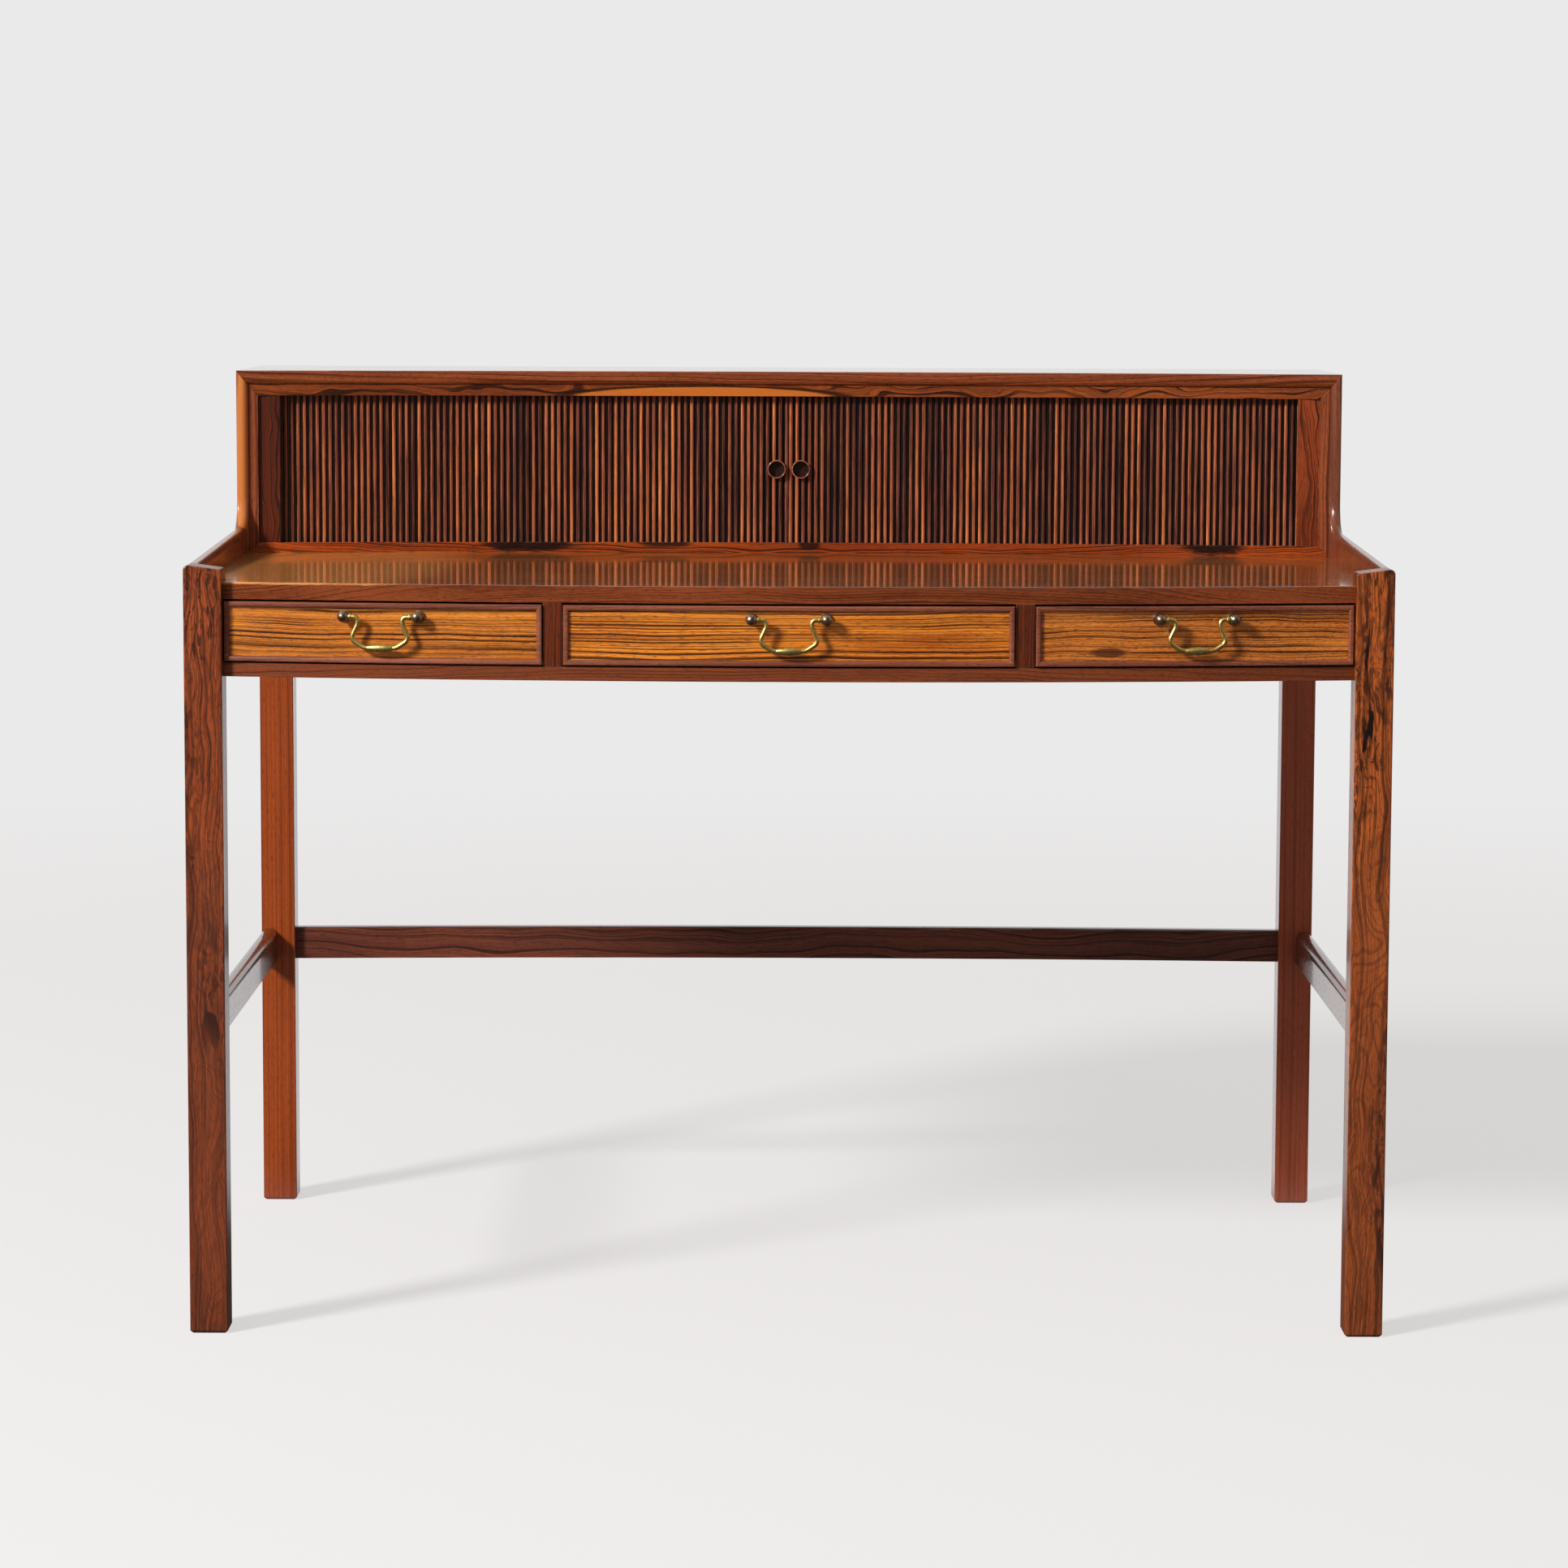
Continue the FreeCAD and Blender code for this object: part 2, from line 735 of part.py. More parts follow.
def track_loop(inset):
    """One wall of the groove: along the tambour's curve, round the ends and across the back of the case."""
    radius = track_front + inset
    side = track_side + S.track_width / 2 - inset
    corner = S.track_corner + S.track_width / 2 - inset
    rear = case_back_front - S.track_back_gap + S.track_width / 2 - inset
    centre_x = side - corner
    reach = radius + corner
    centre_y = frame_centre + (reach * reach - centre_x * centre_x).root()
    touch_x = centre_x * radius / reach
    touch_y = frame_centre + (centre_y - frame_centre) * radius / reach
    return [
        (-touch_x, touch_y, -radius),
        (touch_x, touch_y, corner),
        (side, centre_y),
        (side, rear - corner, corner),
        (side - corner, rear),
        (corner - side, rear, corner),
        (-side, rear - corner),
        (-side, centre_y, corner),
    ]


def track_board(label, low, high, groove_z, upward):
    """Board behind the head or the sill with the groove that the slats run in."""
    plan = frame_outline(side_inner, frame_radius + S.frame_depth, back_y=case_back_front)
    body = plan_piece(label, plan, low, high)
    groove_plane = Placement(Vector(0, 0, float(groove_z - low)), Rotation())
    walls = (track_loop(as_size(0)), track_loop(S.track_width))
    sketch = new_sketch(body, "XY_Plane", *walls, offset=groove_plane)
    bind(sketch, "AttachmentOffset.Base.z", groove_z - low)
    pocket(body, sketch, S.track_depth, reverse=upward)
    keep(body, label)


for hand, sign in both_sides():
    side_board(f"side_board_{hand}", sign)
case_top("case_top")
case_back_span = (case_back_front, case_back_front + S.case_back_thickness)
kept_board("case_back", (-side_inner, side_inner), case_back_span, (S.table_height, ceiling))
frame_rail("frame_sill", S.table_height, sill_top, S.table_height)
frame_rail("frame_head", head_under, ceiling, ceiling)
track_board("track_lower", S.table_height, sill_top, sill_top, False)
track_board("track_upper", head_under, ceiling, head_under, True)
stile_y = (frame_ends + S.stile_setback, frame_ends + S.stile_setback + S.stile_thickness)
lining_inner = lining_end - S.lining_thickness
lining_front = frame_y(lining_inner, slat_back) + S.lining_front_gap
lining_span = (lining_back - S.lining_thickness, lining_back)
clear_height = (sill_top, head_under)
for hand, sign in both_sides():
    end_strip(f"frame_strip_{hand}", sign)
    kept_board(f"stile_{hand}", span(sign, stile_inner, strip_inner), stile_y, clear_height)
    lining_x = span(sign, lining_inner, lining_end)
    kept_board(f"lining_{hand}", lining_x, (lining_front, lining_span[0]), clear_height)
kept_board("lining_back", (-lining_end, lining_end), lining_span, clear_height)


# Tambour doors


def reed(start, shoulder):
    """Upright sides and round crown of one reed, from its side at the lower X."""
    crown = shoulder - S.slat_bead + S.reed_crown
    radius = arc_radius(reed_middle, S.reed_crown)
    stop = start + S.reed_width
    return [(start, shoulder), (start, crown, radius), (stop, crown), (stop, shoulder)]


def slats(label, sign):
    """Slats of one door: a base with a reed on its middle, repeated along the tambour's curve."""
    body = new_body(label)
    edge = slat_width / 2
    shoulder = slat_back - S.slat_base
    base_start = [(-edge, slat_back), (-edge, shoulder)]
    section = base_start + reed(-reed_middle, shoulder) + [(edge, shoulder), (edge, slat_back)]
    first = pad(body, new_sketch(body, "XY_Plane", section), slat_height)
    pattern = body.newObject("PartDesign::PolarPattern", label + "_row")
    pattern.Originals = [first]
    pattern.Axis = (plane_of(body, "Z_Axis"), [""])
    bind(pattern, "Occurrences", S.slat_count)
    bind(pattern, "Angle", (S.slat_count - 1) * slat_pitch / slat_back * (180 / math.pi))
    pattern.Reversed = sign > 0
    body.Tip = pattern
    start = math.degrees(float(lead_outer + slat_pitch / 2) / float(slat_back))
    body.Placement = Placement(Vector(), Rotation(Vector(0, 0, 1), -start * sign))
    place(body, y=frame_centre, z=slat_bottom)
    doc.recompute()
    keep(body, label)


def canvas(label, sign):
    """Cloth that joins the slats of one door to its lead piece."""
    near_radius = slat_back + S.canvas_gap
    far_radius = near_radius + S.canvas_thickness
    x0, x1 = span(sign, lead_inner + slat_pitch, lead_outer + slat_pitch * S.slat_count)
    outline = [
        (x0, frame_y(x0, near_radius), -near_radius),
        (x1, frame_y(x1, near_radius)),
        (x1, frame_y(x1, far_radius), far_radius),
        (x0, frame_y(x0, far_radius)),
    ]
    keep(plan_piece(label, outline, slat_bottom, slat_top), label)


def lead(label, sign):
    """Lead piece of one door, reeded from the meeting edge, with a curved back and a seat for the pull."""
    body = new_body(label)
    rear = frame_y(lead_inner, slat_back)
    shoulder = rear - S.slat_base
    low, high = (lead_inner, lead_outer) if sign > 0 else (-lead_outer, -lead_inner)
    face = []
    for number in range(int(float(S.lead_reeds)))[::sign]:
        inner = lead_inner + slat_pitch * number
        start, _ = span(sign, inner, inner + S.reed_width)
        face += reed(start, shoulder)
    face = face[1:] + [(high, shoulder)] if sign > 0 else [(low, shoulder)] + face[:-1]
    rear_corners = [(high, frame_y(high, slat_back), slat_back), (low, frame_y(low, slat_back))]
    pad(body, new_sketch(body, "XY_Plane", rear_corners + face), slat_height)
    sketch = new_sketch(body, "XZ_Plane", offset=Placement(Vector(0, 0, -float(shoulder)), Rotation()))
    bind(sketch, "AttachmentOffset.Base.z", -shoulder)
    add_circles(sketch, [(S.pull_centre * sign, slat_height / 2)], S.pull_radius)
    pocket(body, sketch, slat_thickness, reverse=True)
    place(body, z=slat_bottom)
    keep(body, label)


def pull(label, sign):
    """Turned cup with a thin rim."""
    body = new_body(label)
    bore = S.pull_radius - S.pull_wall
    floor = S.pull_height - S.pull_cup_depth
    rim = S.pull_height
    section = [(0, 0), (S.pull_radius, 0), (S.pull_radius, rim), (bore, rim), (bore, floor), (0, floor)]
    revolve(body, new_sketch(body, "XZ_Plane", section), "V_Axis")
    dress(body, "Fillet", S.pull_rim_round, lambda p, edge: near(p.z, rim))
    body.Placement = Placement(Vector(), Rotation(Vector(1, 0, 0), 90))
    seat_y = frame_y(lead_inner, slat_back) - S.slat_base
    place(body, S.pull_centre * sign, seat_y, slat_bottom + slat_height / 2)
    keep(body, label)


for hand, sign in both_sides():
    slats(f"slats_{hand}", sign)
    canvas(f"canvas_{hand}", sign)
    lead(f"lead_{hand}", sign)
    pull(f"pull_{hand}", sign)


# Drawers and their handles


def bail_path():
    """Centre line of the bail from one pin to the other: straight runs joined by tangent arcs."""
    pin = S.handle_spacing / 2 - S.stud_ball_radius + S.pin_depth
    bends = [
        (pin, as_size(0), as_size(0)),
        (S.bail_neck, as_size(0), S.bail_neck_round),
        (S.bail_neck, -S.bail_neck_drop, S.bail_shoulder_round),
        (S.bail_bulge, -S.bail_bulge_drop, S.bail_bulge_round),
        (S.bail_heel, -S.bail_drop, S.bail_heel_round),
    ]
    bends = bends + [(-x, z, radius) for x, z, radius in reversed(bends)]
    return [(Vector(float(x), float(z), 0), float(radius)) for x, z, radius in bends]


def rounded_edges(bends):
    """Straight runs and tangent arcs through a list of bends."""
    edges = []
    start = bends[0][0]
    for (before, _), (corner, radius), (after, _) in zip(bends, bends[1:], bends[2:]):
        towards = (before - corner).normalize()
        away = (after - corner).normalize()
        half_turn = towards.getAngle(away) / 2
        setback = radius / math.tan(half_turn)
        bisector = (towards + away).normalize()
        middle = corner + bisector * (radius / math.sin(half_turn) - radius)
        entry = corner + towards * setback
        leave = corner + away * setback
        edges.append(Part.LineSegment(start, entry))
        edges.append(Part.Arc(entry, middle, leave))
        start = leave
    edges.append(Part.LineSegment(start, bends[-1][0]))
    return edges


def bail(label, seat):
    """Swan-neck bail: a bent wire with a thicker grip, collars at the studs and pins that turn in them."""
    body = new_body(label)
    hang = Placement(Vector(0, 0, float(S.stud_reach)), Rotation())
    path = new_sketch(body, "XZ_Plane", offset=hang)
    bends = bail_path()
    for edge in rounded_edges(bends):
        path.addGeometry(edge, False)
    wire_end = bends[0][0].x
    section = new_sketch(body, "YZ_Plane", offset=Placement(Vector(0, 0, wire_end), Rotation()))
    add_circles(section, [(-S.stud_reach, 0)], S.bail_wire_radius)
    wire = body.newObject("PartDesign::AdditivePipe", label + "_wire")
    wire.Profile = section
    wire.Spine = (path, [f"Edge{number + 1}" for number in range(path.GeometryCount)])
    doc.recompute()
    grip_end = S.bail_wire_radius - S.bail_collar_gap
    arc = -arc_radius(S.grip_half_length, S.grip_radius - grip_end)
    profile = [
        (-S.grip_half_length, 0),
        (-S.grip_half_length, grip_end, arc),
        (S.grip_half_length, grip_end),
        (S.grip_half_length, 0),
    ]
    at_grip = Placement(Vector(0, -float(S.bail_drop), float(S.stud_reach)), Rotation())
    revolve(body, new_sketch(body, "XZ_Plane", profile, offset=at_grip), "H_Axis")
    collar_end = S.handle_spacing / 2 - S.stud_ball_radius - S.bail_collar_gap
    collar_start = collar_end - S.bail_collar_length
    for _, sign in both_sides():
        ring = [
            (collar_start * sign, 0),
            (collar_end * sign, 0),
            (collar_end * sign, S.bail_collar_radius),
            (collar_start * sign, S.bail_collar_radius),
        ]
        revolve(body, new_sketch(body, "XZ_Plane", ring, offset=hang), "H_Axis")
    body.Placement = seat
    keep(body, label)


def studs(label, seat):
    """Two ball studs on round roses, with shanks through the drawer front and bored for the bail's pins."""
    body = new_body(label)
    post = S.handle_spacing / 2
    tail = S.drawer_front_thickness + S.stud_shank_tail
    ball = S.stud_ball_radius
    neck = S.stud_neck_radius
    waist = S.stud_reach - (ball * ball - neck * neck).root()
    section = [
        (0, tail),
        (0, -(S.stud_reach + ball), ball),
        (ball, -S.stud_reach, ball),
        (neck, -waist),
        (neck, -S.stud_rose_thickness),
        (S.stud_rose_radius, -S.stud_rose_thickness),
        (S.stud_rose_radius, 0),
        (S.stud_shank_radius, 0),
        (S.stud_shank_radius, tail),
    ]
    at_post = Placement(Vector(float(post), 0, 0), Rotation())
    turned = revolve(body, new_sketch(body, "XY_Plane", section, offset=at_post), "V_Axis")
    mouth = post - ball - S.pin_gap
    sketch = new_sketch(body, "YZ_Plane", offset=Placement(Vector(0, 0, float(mouth)), Rotation()))
    add_circles(sketch, [(-S.stud_reach, 0)], S.bail_wire_radius + S.pin_gap)
    bore = pocket(body, sketch, S.pin_depth + S.pin_gap * 2, reverse=True)
    pair = body.newObject("PartDesign::Mirrored", label + "_pair")
    pair.Originals = [turned, bore]
    pair.MirrorPlane = (plane_of(body, "YZ_Plane"), [""])
    body.Tip = pair
    body.Placement = seat
    doc.recompute()
    keep(body, label)


def drawer_front(label, x0, x1, seat):
    """Bowed front with holes for the two studs of its handle."""
    outline = bow_outline(x0, x1, bow_radius, bow_radius - S.drawer_front_thickness)
    body = plan_piece(label, outline, drawer_bottom, drawer_top)
    turn = seat.Rotation.toEuler()[0]
    base = Vector(seat.Base.x, seat.Base.z - float(drawer_bottom), -seat.Base.y)
    sketch = new_sketch(body, "XZ_Plane", offset=Placement(base, Rotation(Vector(0, 1, 0), turn)))
    post = S.handle_spacing / 2
    add_circles(sketch, [(-post, 0), (post, 0)], S.stud_shank_radius + S.stud_hole_gap)
    pocket(body, sketch)
    keep(body, label)


def about_bow(body, kind, x0, x1, *loops):
    """Adds or cuts sections of (radius, height) turned about the bow's axis from one X to another."""
    first, last = (math.degrees(math.asin(float(x / bow_radius))) for x in (x0, x1))
    return turned(body, kind, bow_centre, (first + last) / 2 - 90, last - first, *loops)


def bead(label, x0, x1):
    """Raised moulding round the drawer front: a ring, with stiles and rails eased towards the field."""
    tall = drawer_top - drawer_bottom
    foot = bow_radius + S.bead_proud - S.bead_inner_round
    crown = bow_radius + S.bead_proud
    body = plan_piece(label, bow_outline(x0, x1, foot, bow_radius), drawer_bottom, drawer_top)
    left = x0 + S.bead_width
    right = x1 - S.bead_width
    low = S.bead_width
    high = tall - S.bead_width
    pocket(body, new_sketch(body, "XZ_Plane", [(left, low), (right, low), (right, high), (left, high)]))
    section = eased(S.bead_inner_round, S.bead_width - S.bead_inner_round)
    inside = bow_radius + (S.bead_proud - S.bead_inner_round) / 2
    lap = S.bead_outer_round
    stiles = []
    for end, sign in ((x0, 1), (x1, -1)):
        turned = [(end + reach * sign, bow_y(end + reach * sign, foot + out)) for out, reach in section]
        inner = end + S.bead_width * sign
        corner = end + lap * sign
        outer = [(end, bow_y(end, inside)), (end, bow_y(end, crown - lap))]
        face = [(corner, bow_y(corner, crown), crown * sign)]
        stiles.append(outer + face + turned + [(inner, bow_y(inner, inside), inside * -sign)])
    pad(body, new_sketch(body, "XY_Plane", *stiles), tall)
    rails = []
    for edge, sign in ((as_size(0), 1), (tall, -1)):
        turned = [(foot + out, edge + reach * sign) for out, reach in section]
        rails.append([(inside, edge), (crown, edge)] + turned + [(inside, edge + S.bead_width * sign)])
    about_bow(body, "Revolution", x0 + lap * 2, x1 - lap * 2, *rails)
    corners = []
    for edge, sign in ((as_size(0), 1), (tall, -1)):
        out = edge - lap * sign
        corners.append([(crown - lap * 2, out), (crown + lap, out), (crown + lap, edge + lap * sign * 2)])
    about_bow(body, "Groove", x0 - S.leg, x1 + S.leg, *corners)
    keep(body, label)


def drawer_box(name, x0, x1):
    """Sides, back and bottom behind the drawer front."""
    inner_radius = bow_radius - S.drawer_front_thickness
    rear = apron_front - S.drawer_stop_gap
    wall_low = drawer_bottom + S.drawer_wall_lift
    wall_high = wall_low + S.drawer_wall_height
    left = x0 + S.drawer_wall_inset
    right = x1 - S.drawer_wall_inset
    inner_left = left + S.drawer_wall
    inner_right = right - S.drawer_wall
    bottom_low = wall_low + S.drawer_bottom_lift
    bottom_high = bottom_low + S.drawer_bottom_thickness
    for hand, wall in (("left", (left, inner_left)), ("right", (inner_right, right))):
        label = f"{name}_side_{hand}"
        keep(plan_piece(label, bow_outline(*wall, inner_radius, back_y=rear), wall_low, wall_high), label)
    label = f"{name}_bottom"
    plan = bow_outline(inner_left, inner_right, inner_radius, back_y=rear)
    keep(plan_piece(label, plan, bottom_low, bottom_high), label)
    label = f"{name}_back"
    back_height = (bottom_high, wall_high - S.drawer_back_drop)
    kept_board(label, (inner_left, inner_right), (rear - S.drawer_wall, rear), back_height)


def handle_seat(x0, x1):
    """Point of the bowed face at the middle of a drawer, turned to face straight out of the bow."""
    middle = (float(x0) + float(x1)) / 2
    angle = math.degrees(math.asin(middle / float(bow_radius)))
    y = float(bow_centre) - math.sqrt(float(bow_radius) ** 2 - middle**2)
    z = float(drawer_top - S.handle_drop)
    return Placement(Vector(middle, y, z), Rotation(Vector(0, 0, 1), angle))


divider_near = S.divider_centre - S.divider_thickness / 2 - S.drawer_side_gap
divider_far = S.divider_centre + S.divider_thickness / 2 + S.drawer_side_gap
outer_end = leg_inner - S.drawer_side_gap
for name, x0, x1 in (
    ("drawer_left", -outer_end, -divider_far),
    ("drawer_centre", -divider_near, divider_near),
    ("drawer_right", divider_far, outer_end),
):
    seat = handle_seat(x0, x1)
    drawer_front(f"{name}_front", x0, x1, seat)
    bead(f"{name}_bead", x0, x1)
    drawer_box(name, x0, x1)
    studs(f"{name}_studs", seat)
    bail(f"{name}_bail", seat)


# Checks and export

doc.recompute()
for item in doc.Objects:
    if {"Invalid", "Error"} & set(item.State):
        raise ValueError(f"{item.Label} failed: {item.State}")
for item in NODES:
    if item.Shape.isNull() or not item.Shape.isValid():
        raise ValueError(f"{item.Label} has no valid shape")

os.makedirs("parts", exist_ok=True)
for item in NODES:
    item.Shape.exportStep(f"parts/{item.Label}.step")
print(f"{len(NODES)} sub-parts written")
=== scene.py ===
"""Looks of the tambour desk: wood and metal finishes, the reeded curtains and the studio."""

import logging
import math
from dataclasses import dataclass, replace
from enum import Enum
from typing import Union

import bmesh
import bpy
from bpy.types import Material, Object
from mathutils import Matrix, Vector


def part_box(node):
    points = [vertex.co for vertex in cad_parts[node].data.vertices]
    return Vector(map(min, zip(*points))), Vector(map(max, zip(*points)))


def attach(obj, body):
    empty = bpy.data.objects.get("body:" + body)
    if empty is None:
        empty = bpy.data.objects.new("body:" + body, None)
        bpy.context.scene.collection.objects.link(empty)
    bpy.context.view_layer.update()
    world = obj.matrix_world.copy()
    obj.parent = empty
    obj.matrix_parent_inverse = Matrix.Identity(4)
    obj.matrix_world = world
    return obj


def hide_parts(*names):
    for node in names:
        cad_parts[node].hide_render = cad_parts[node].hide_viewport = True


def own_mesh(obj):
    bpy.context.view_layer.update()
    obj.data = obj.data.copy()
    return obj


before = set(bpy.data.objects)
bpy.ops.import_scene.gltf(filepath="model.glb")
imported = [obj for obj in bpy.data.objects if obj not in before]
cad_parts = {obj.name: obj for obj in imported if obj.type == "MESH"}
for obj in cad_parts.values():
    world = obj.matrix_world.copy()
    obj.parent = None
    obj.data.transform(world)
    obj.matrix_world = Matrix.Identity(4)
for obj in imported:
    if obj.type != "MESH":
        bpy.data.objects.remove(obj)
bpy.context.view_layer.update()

LOG = logging.getLogger("tambour_desk")
Colour = tuple[float, float, float]
Point = tuple[float, float, float]
Span = tuple[float, float]

# Edges: samples of the bevel node, and how far a surface turns where wear starts and is full
BEVEL_SAMPLES = 4
EDGE_STEP = (0.01, 0.14)

# Waves of noise in a metre of wood, along its fibres and across them
FIBRE_WAVES = (11.0, 800.0)
BROAD_WAVES = (3.2, 16.0)
FADE_WAVES = (5.0, 60.0)
PORE_WAVES = (110.0, 1800.0)
CROWD_WAVES = (5.0, 16.0)
FLECK_WAVES = (55.0, 200.0)
EYE_WAVES = (12.0, 60.0)
BEND_WAVES = (11.0, 34.0)
RUB_WAVES = 90.0

# Noise at which each feature of the wood starts and is full
TONE_STEP = (0.1, 0.9)
LIP_STEP = (0.1, 0.8)
FADE_STEP = (0.25, 0.6)
BAND_STEP = (0.48, 0.68)
HAIR_STEP = (0.53, 0.64)
PORE_STEP = (0.57, 0.66)
RUB_STEP = (0.42, 0.66)
CROWD_STEP = (0.40, 0.58)
FLECK_STEP = (0.50, 0.60)
EYE_STEP = (0.54, 0.62)
CONTOUR_STEP = (0.52, 0.62)

# Other numbers of the wood
SWAY_SIDE = 0.35
CONTOUR_LINES = 26.0
SEAM = 0.0003
REFRACTION = 1.5
COAT_ROUGHNESS = 0.06


def shade(red: float, green: float, blue: float) -> Colour:
    """Turns a colour as a screen shows it, 0 to 255, into amounts of light.

    Args:
        red: Red share of the colour.
        green: Green share of the colour.
        blue: Blue share of the colour.

    Returns:
        The three shares as light, 0 to 1.
    """
    parts = (share / 255 for share in (red, green, blue))
    return tuple(
        part / 12.92 if part <= 0.04045 else ((part + 0.055) / 1.055) ** 2.4 for part in parts
    )


# Shader building


class Value:
    """A number or colour that varies over a surface; arithmetic on numbers adds Math nodes."""

    def __init__(self, graph: "Graph", socket: bpy.types.NodeSocket) -> None:
        """Keeps the socket that gives the value, and the graph it belongs to."""
        self.graph = graph
        self.socket = socket

    def sum_of(self, operation: str, first: "Operand", second: "Operand") -> "Value":
        """Adds one Math node.

        Args:
            operation: Name of the Math node's operation.
            first: First number.
            second: Second number.

        Returns:
            The node's result.
        """
        return self.graph.add("ShaderNodeMath", {"operation": operation}, {0: first, 1: second})

    def __add__(self, other: "Operand") -> "Value":
        """Sum."""
        return self.sum_of("ADD", self, other)

    def __radd__(self, other: "Operand") -> "Value":
        """Sum with a number on the left."""
        return self.sum_of("ADD", other, self)

    def __sub__(self, other: "Operand") -> "Value":
        """Difference."""
        return self.sum_of("SUBTRACT", self, other)

    def __rsub__(self, other: "Operand") -> "Value":
        """Difference with a number on the left."""
        return self.sum_of("SUBTRACT", other, self)

    def __mul__(self, other: "Operand") -> "Value":
        """Product."""
        return self.sum_of("MULTIPLY", self, other)

    def __truediv__(self, other: "Operand") -> "Value":
        """Quotient."""
        return self.sum_of("DIVIDE", self, other)


Operand = Union[Value, float]
Spot = tuple[Value, Value, Value]


def scaled(spot: tuple[Value, ...], waves: tuple[float, ...]) -> tuple[Value, ...]:
    """Scales each coordinate of a point by its own number of waves.

    Args:
        spot: The coordinates.
        waves: Waves in a unit of each.

    Returns:
        The scaled coordinates.
    """
    return tuple(axis * count for axis, count in zip(spot, waves))


class Graph:
    """Node tree of one material or of the world."""

    def __init__(self, tree: bpy.types.NodeTree) -> None:
        """Starts from an empty tree."""
        self.tree = tree
        self.tree.nodes.clear()

    @classmethod
    def of_material(cls, name: str) -> tuple[Material, "Graph"]:
        """Makes a material.

        Args:
            name: Name of the finish.

        Returns:
            The material and its empty graph.
        """
        material = bpy.data.materials.new(name)
        material.use_nodes = True
        return material, cls(material.node_tree)

    def add(
        self,
        kind: str,
        settings: dict | None = None,
        inputs: dict | None = None,
        output: int | str = 0,
    ) -> Value:
        """Adds any node.

        Args:
            kind: The node's type.
            settings: The node's own properties; stops are those of a colour ramp.
            inputs: Numbers, colours or values for its sockets.
            output: Socket to go on with.

        Returns:
            The value at that socket.
        """
        node = self.tree.nodes.new(kind)
        for key, setting in (settings or {}).items():
            if key == "stops":
                self.set_stops(node.color_ramp, setting)
            else:
                setattr(node, key, setting)
        for key, given in (inputs or {}).items():
            socket = node.inputs[key]
            if isinstance(given, Value):
                self.tree.links.new(given.socket, socket)
            elif socket.type == "RGBA" and len(given) == 3:
                socket.default_value = (*given, 1.0)
            else:
                socket.default_value = given
        return Value(self, node.outputs[output])

    @staticmethod
    def set_stops(ramp: bpy.types.ColorRamp, stops: tuple[tuple[float, Colour], ...]) -> None:
        """Sets a ramp's stops.

        Args:
            ramp: The ramp of the node.
            stops: Places from 0 to 1, each with its colour.
        """
        while len(ramp.elements) < len(stops):
            ramp.elements.new(1.0)
        for element, (place, colour) in zip(ramp.elements, stops):
            element.position = place
            element.color = (*colour, 1.0)

    def place(self) -> Spot:
        """The point of the surface in the desk's own frame, as x, y and z."""
        return self.split(self.add("ShaderNodeTexCoord", output="Object"))

    def split(self, spot: Value) -> Spot:
        """A point or direction as its x, y and z."""
        first = self.add("ShaderNodeSeparateXYZ", inputs={0: spot})
        return tuple(Value(self, output) for output in first.socket.node.outputs)

    def rays(self, *kinds: str) -> tuple[Value, ...]:
        """Whether a ray is of each of these kinds, as 0 or 1."""
        path = self.add("ShaderNodeLightPath").socket.node.outputs
        return tuple(Value(self, path[f"Is {kind} Ray"]) for kind in kinds)

    def noise(
        self,
        spot: tuple[Operand, Operand, Operand],
        detail: float = 2.0,
        rough: float = 0.5,
        bend: float = 0.0,
    ) -> Value:
        """Soft noise in space.

        Args:
            spot: The three coordinates, already scaled.
            detail: Octaves of the noise.
            rough: Share of the finer octaves.
            bend: Distortion of the noise.

        Returns:
            The noise, from 0 to 1.
        """
        vector = self.add("ShaderNodeCombineXYZ", inputs=dict(enumerate(spot)))
        inputs = {"Vector": vector, "Scale": 1.0, "Detail": detail, "Roughness": rough}
        inputs["Distortion"] = bend
        return self.add("ShaderNodeTexNoise", {"noise_dimensions": "3D"}, inputs)

    def streaks(
        self, spot: Spot, waves: Span, detail: float, rough: float = 0.5, bend: float = 0.0
    ) -> Value:
        """Noise drawn out along the fibres.

        Args:
            spot: The point along the fibres, to their side and across them.
            waves: Waves in a metre along the fibres and across them.
            detail: Octaves of the noise.
            rough: Share of the finer octaves.
            bend: Distortion of the noise.

        Returns:
            The noise, from 0 to 1.
        """
        along, across = waves
        return self.noise(
            (spot[0] * along, spot[1] * across, spot[2] * across), detail, rough, bend
        )

    def lines(self, position: Value, detail: float = 2.0, rough: float = 0.6) -> Value:
        """Noise along one direction only, for lines of uneven width.

        Args:
            position: Place across the lines, in lines.
            detail: Octaves of the noise.
            rough: Share of the finer octaves.

        Returns:
            The noise, from 0 to 1.
        """
        inputs = {"W": position, "Scale": 1.0, "Detail": detail, "Roughness": rough}
        return self.add("ShaderNodeTexNoise", {"noise_dimensions": "1D"}, inputs)

    def step(self, value: Value, low: float, high: float) -> Value:
        """Soft step.

        Args:
            value: What is stepped.
            low: Where the step is 0.
            high: Where the step is 1.

        Returns:
            The step, from 0 to 1.
        """
        inputs = {"Value": value, "From Min": low, "From Max": high}
        return self.add("ShaderNodeMapRange", {"interpolation_type": "SMOOTHSTEP"}, inputs)

    def mix(self, share: Operand, first: Value | Colour, second: Value | Colour) -> Value:
        """Mixes two colours.

        Args:
            share: Share of the second colour.
            first: First colour.
            second: Second colour.

        Returns:
            The mixed colour.
        """
        settings = {"data_type": "RGBA", "blend_type": "MIX", "clamp_factor": True}
        return self.add("ShaderNodeMix", settings, {0: share, 6: first, 7: second}, output=2)

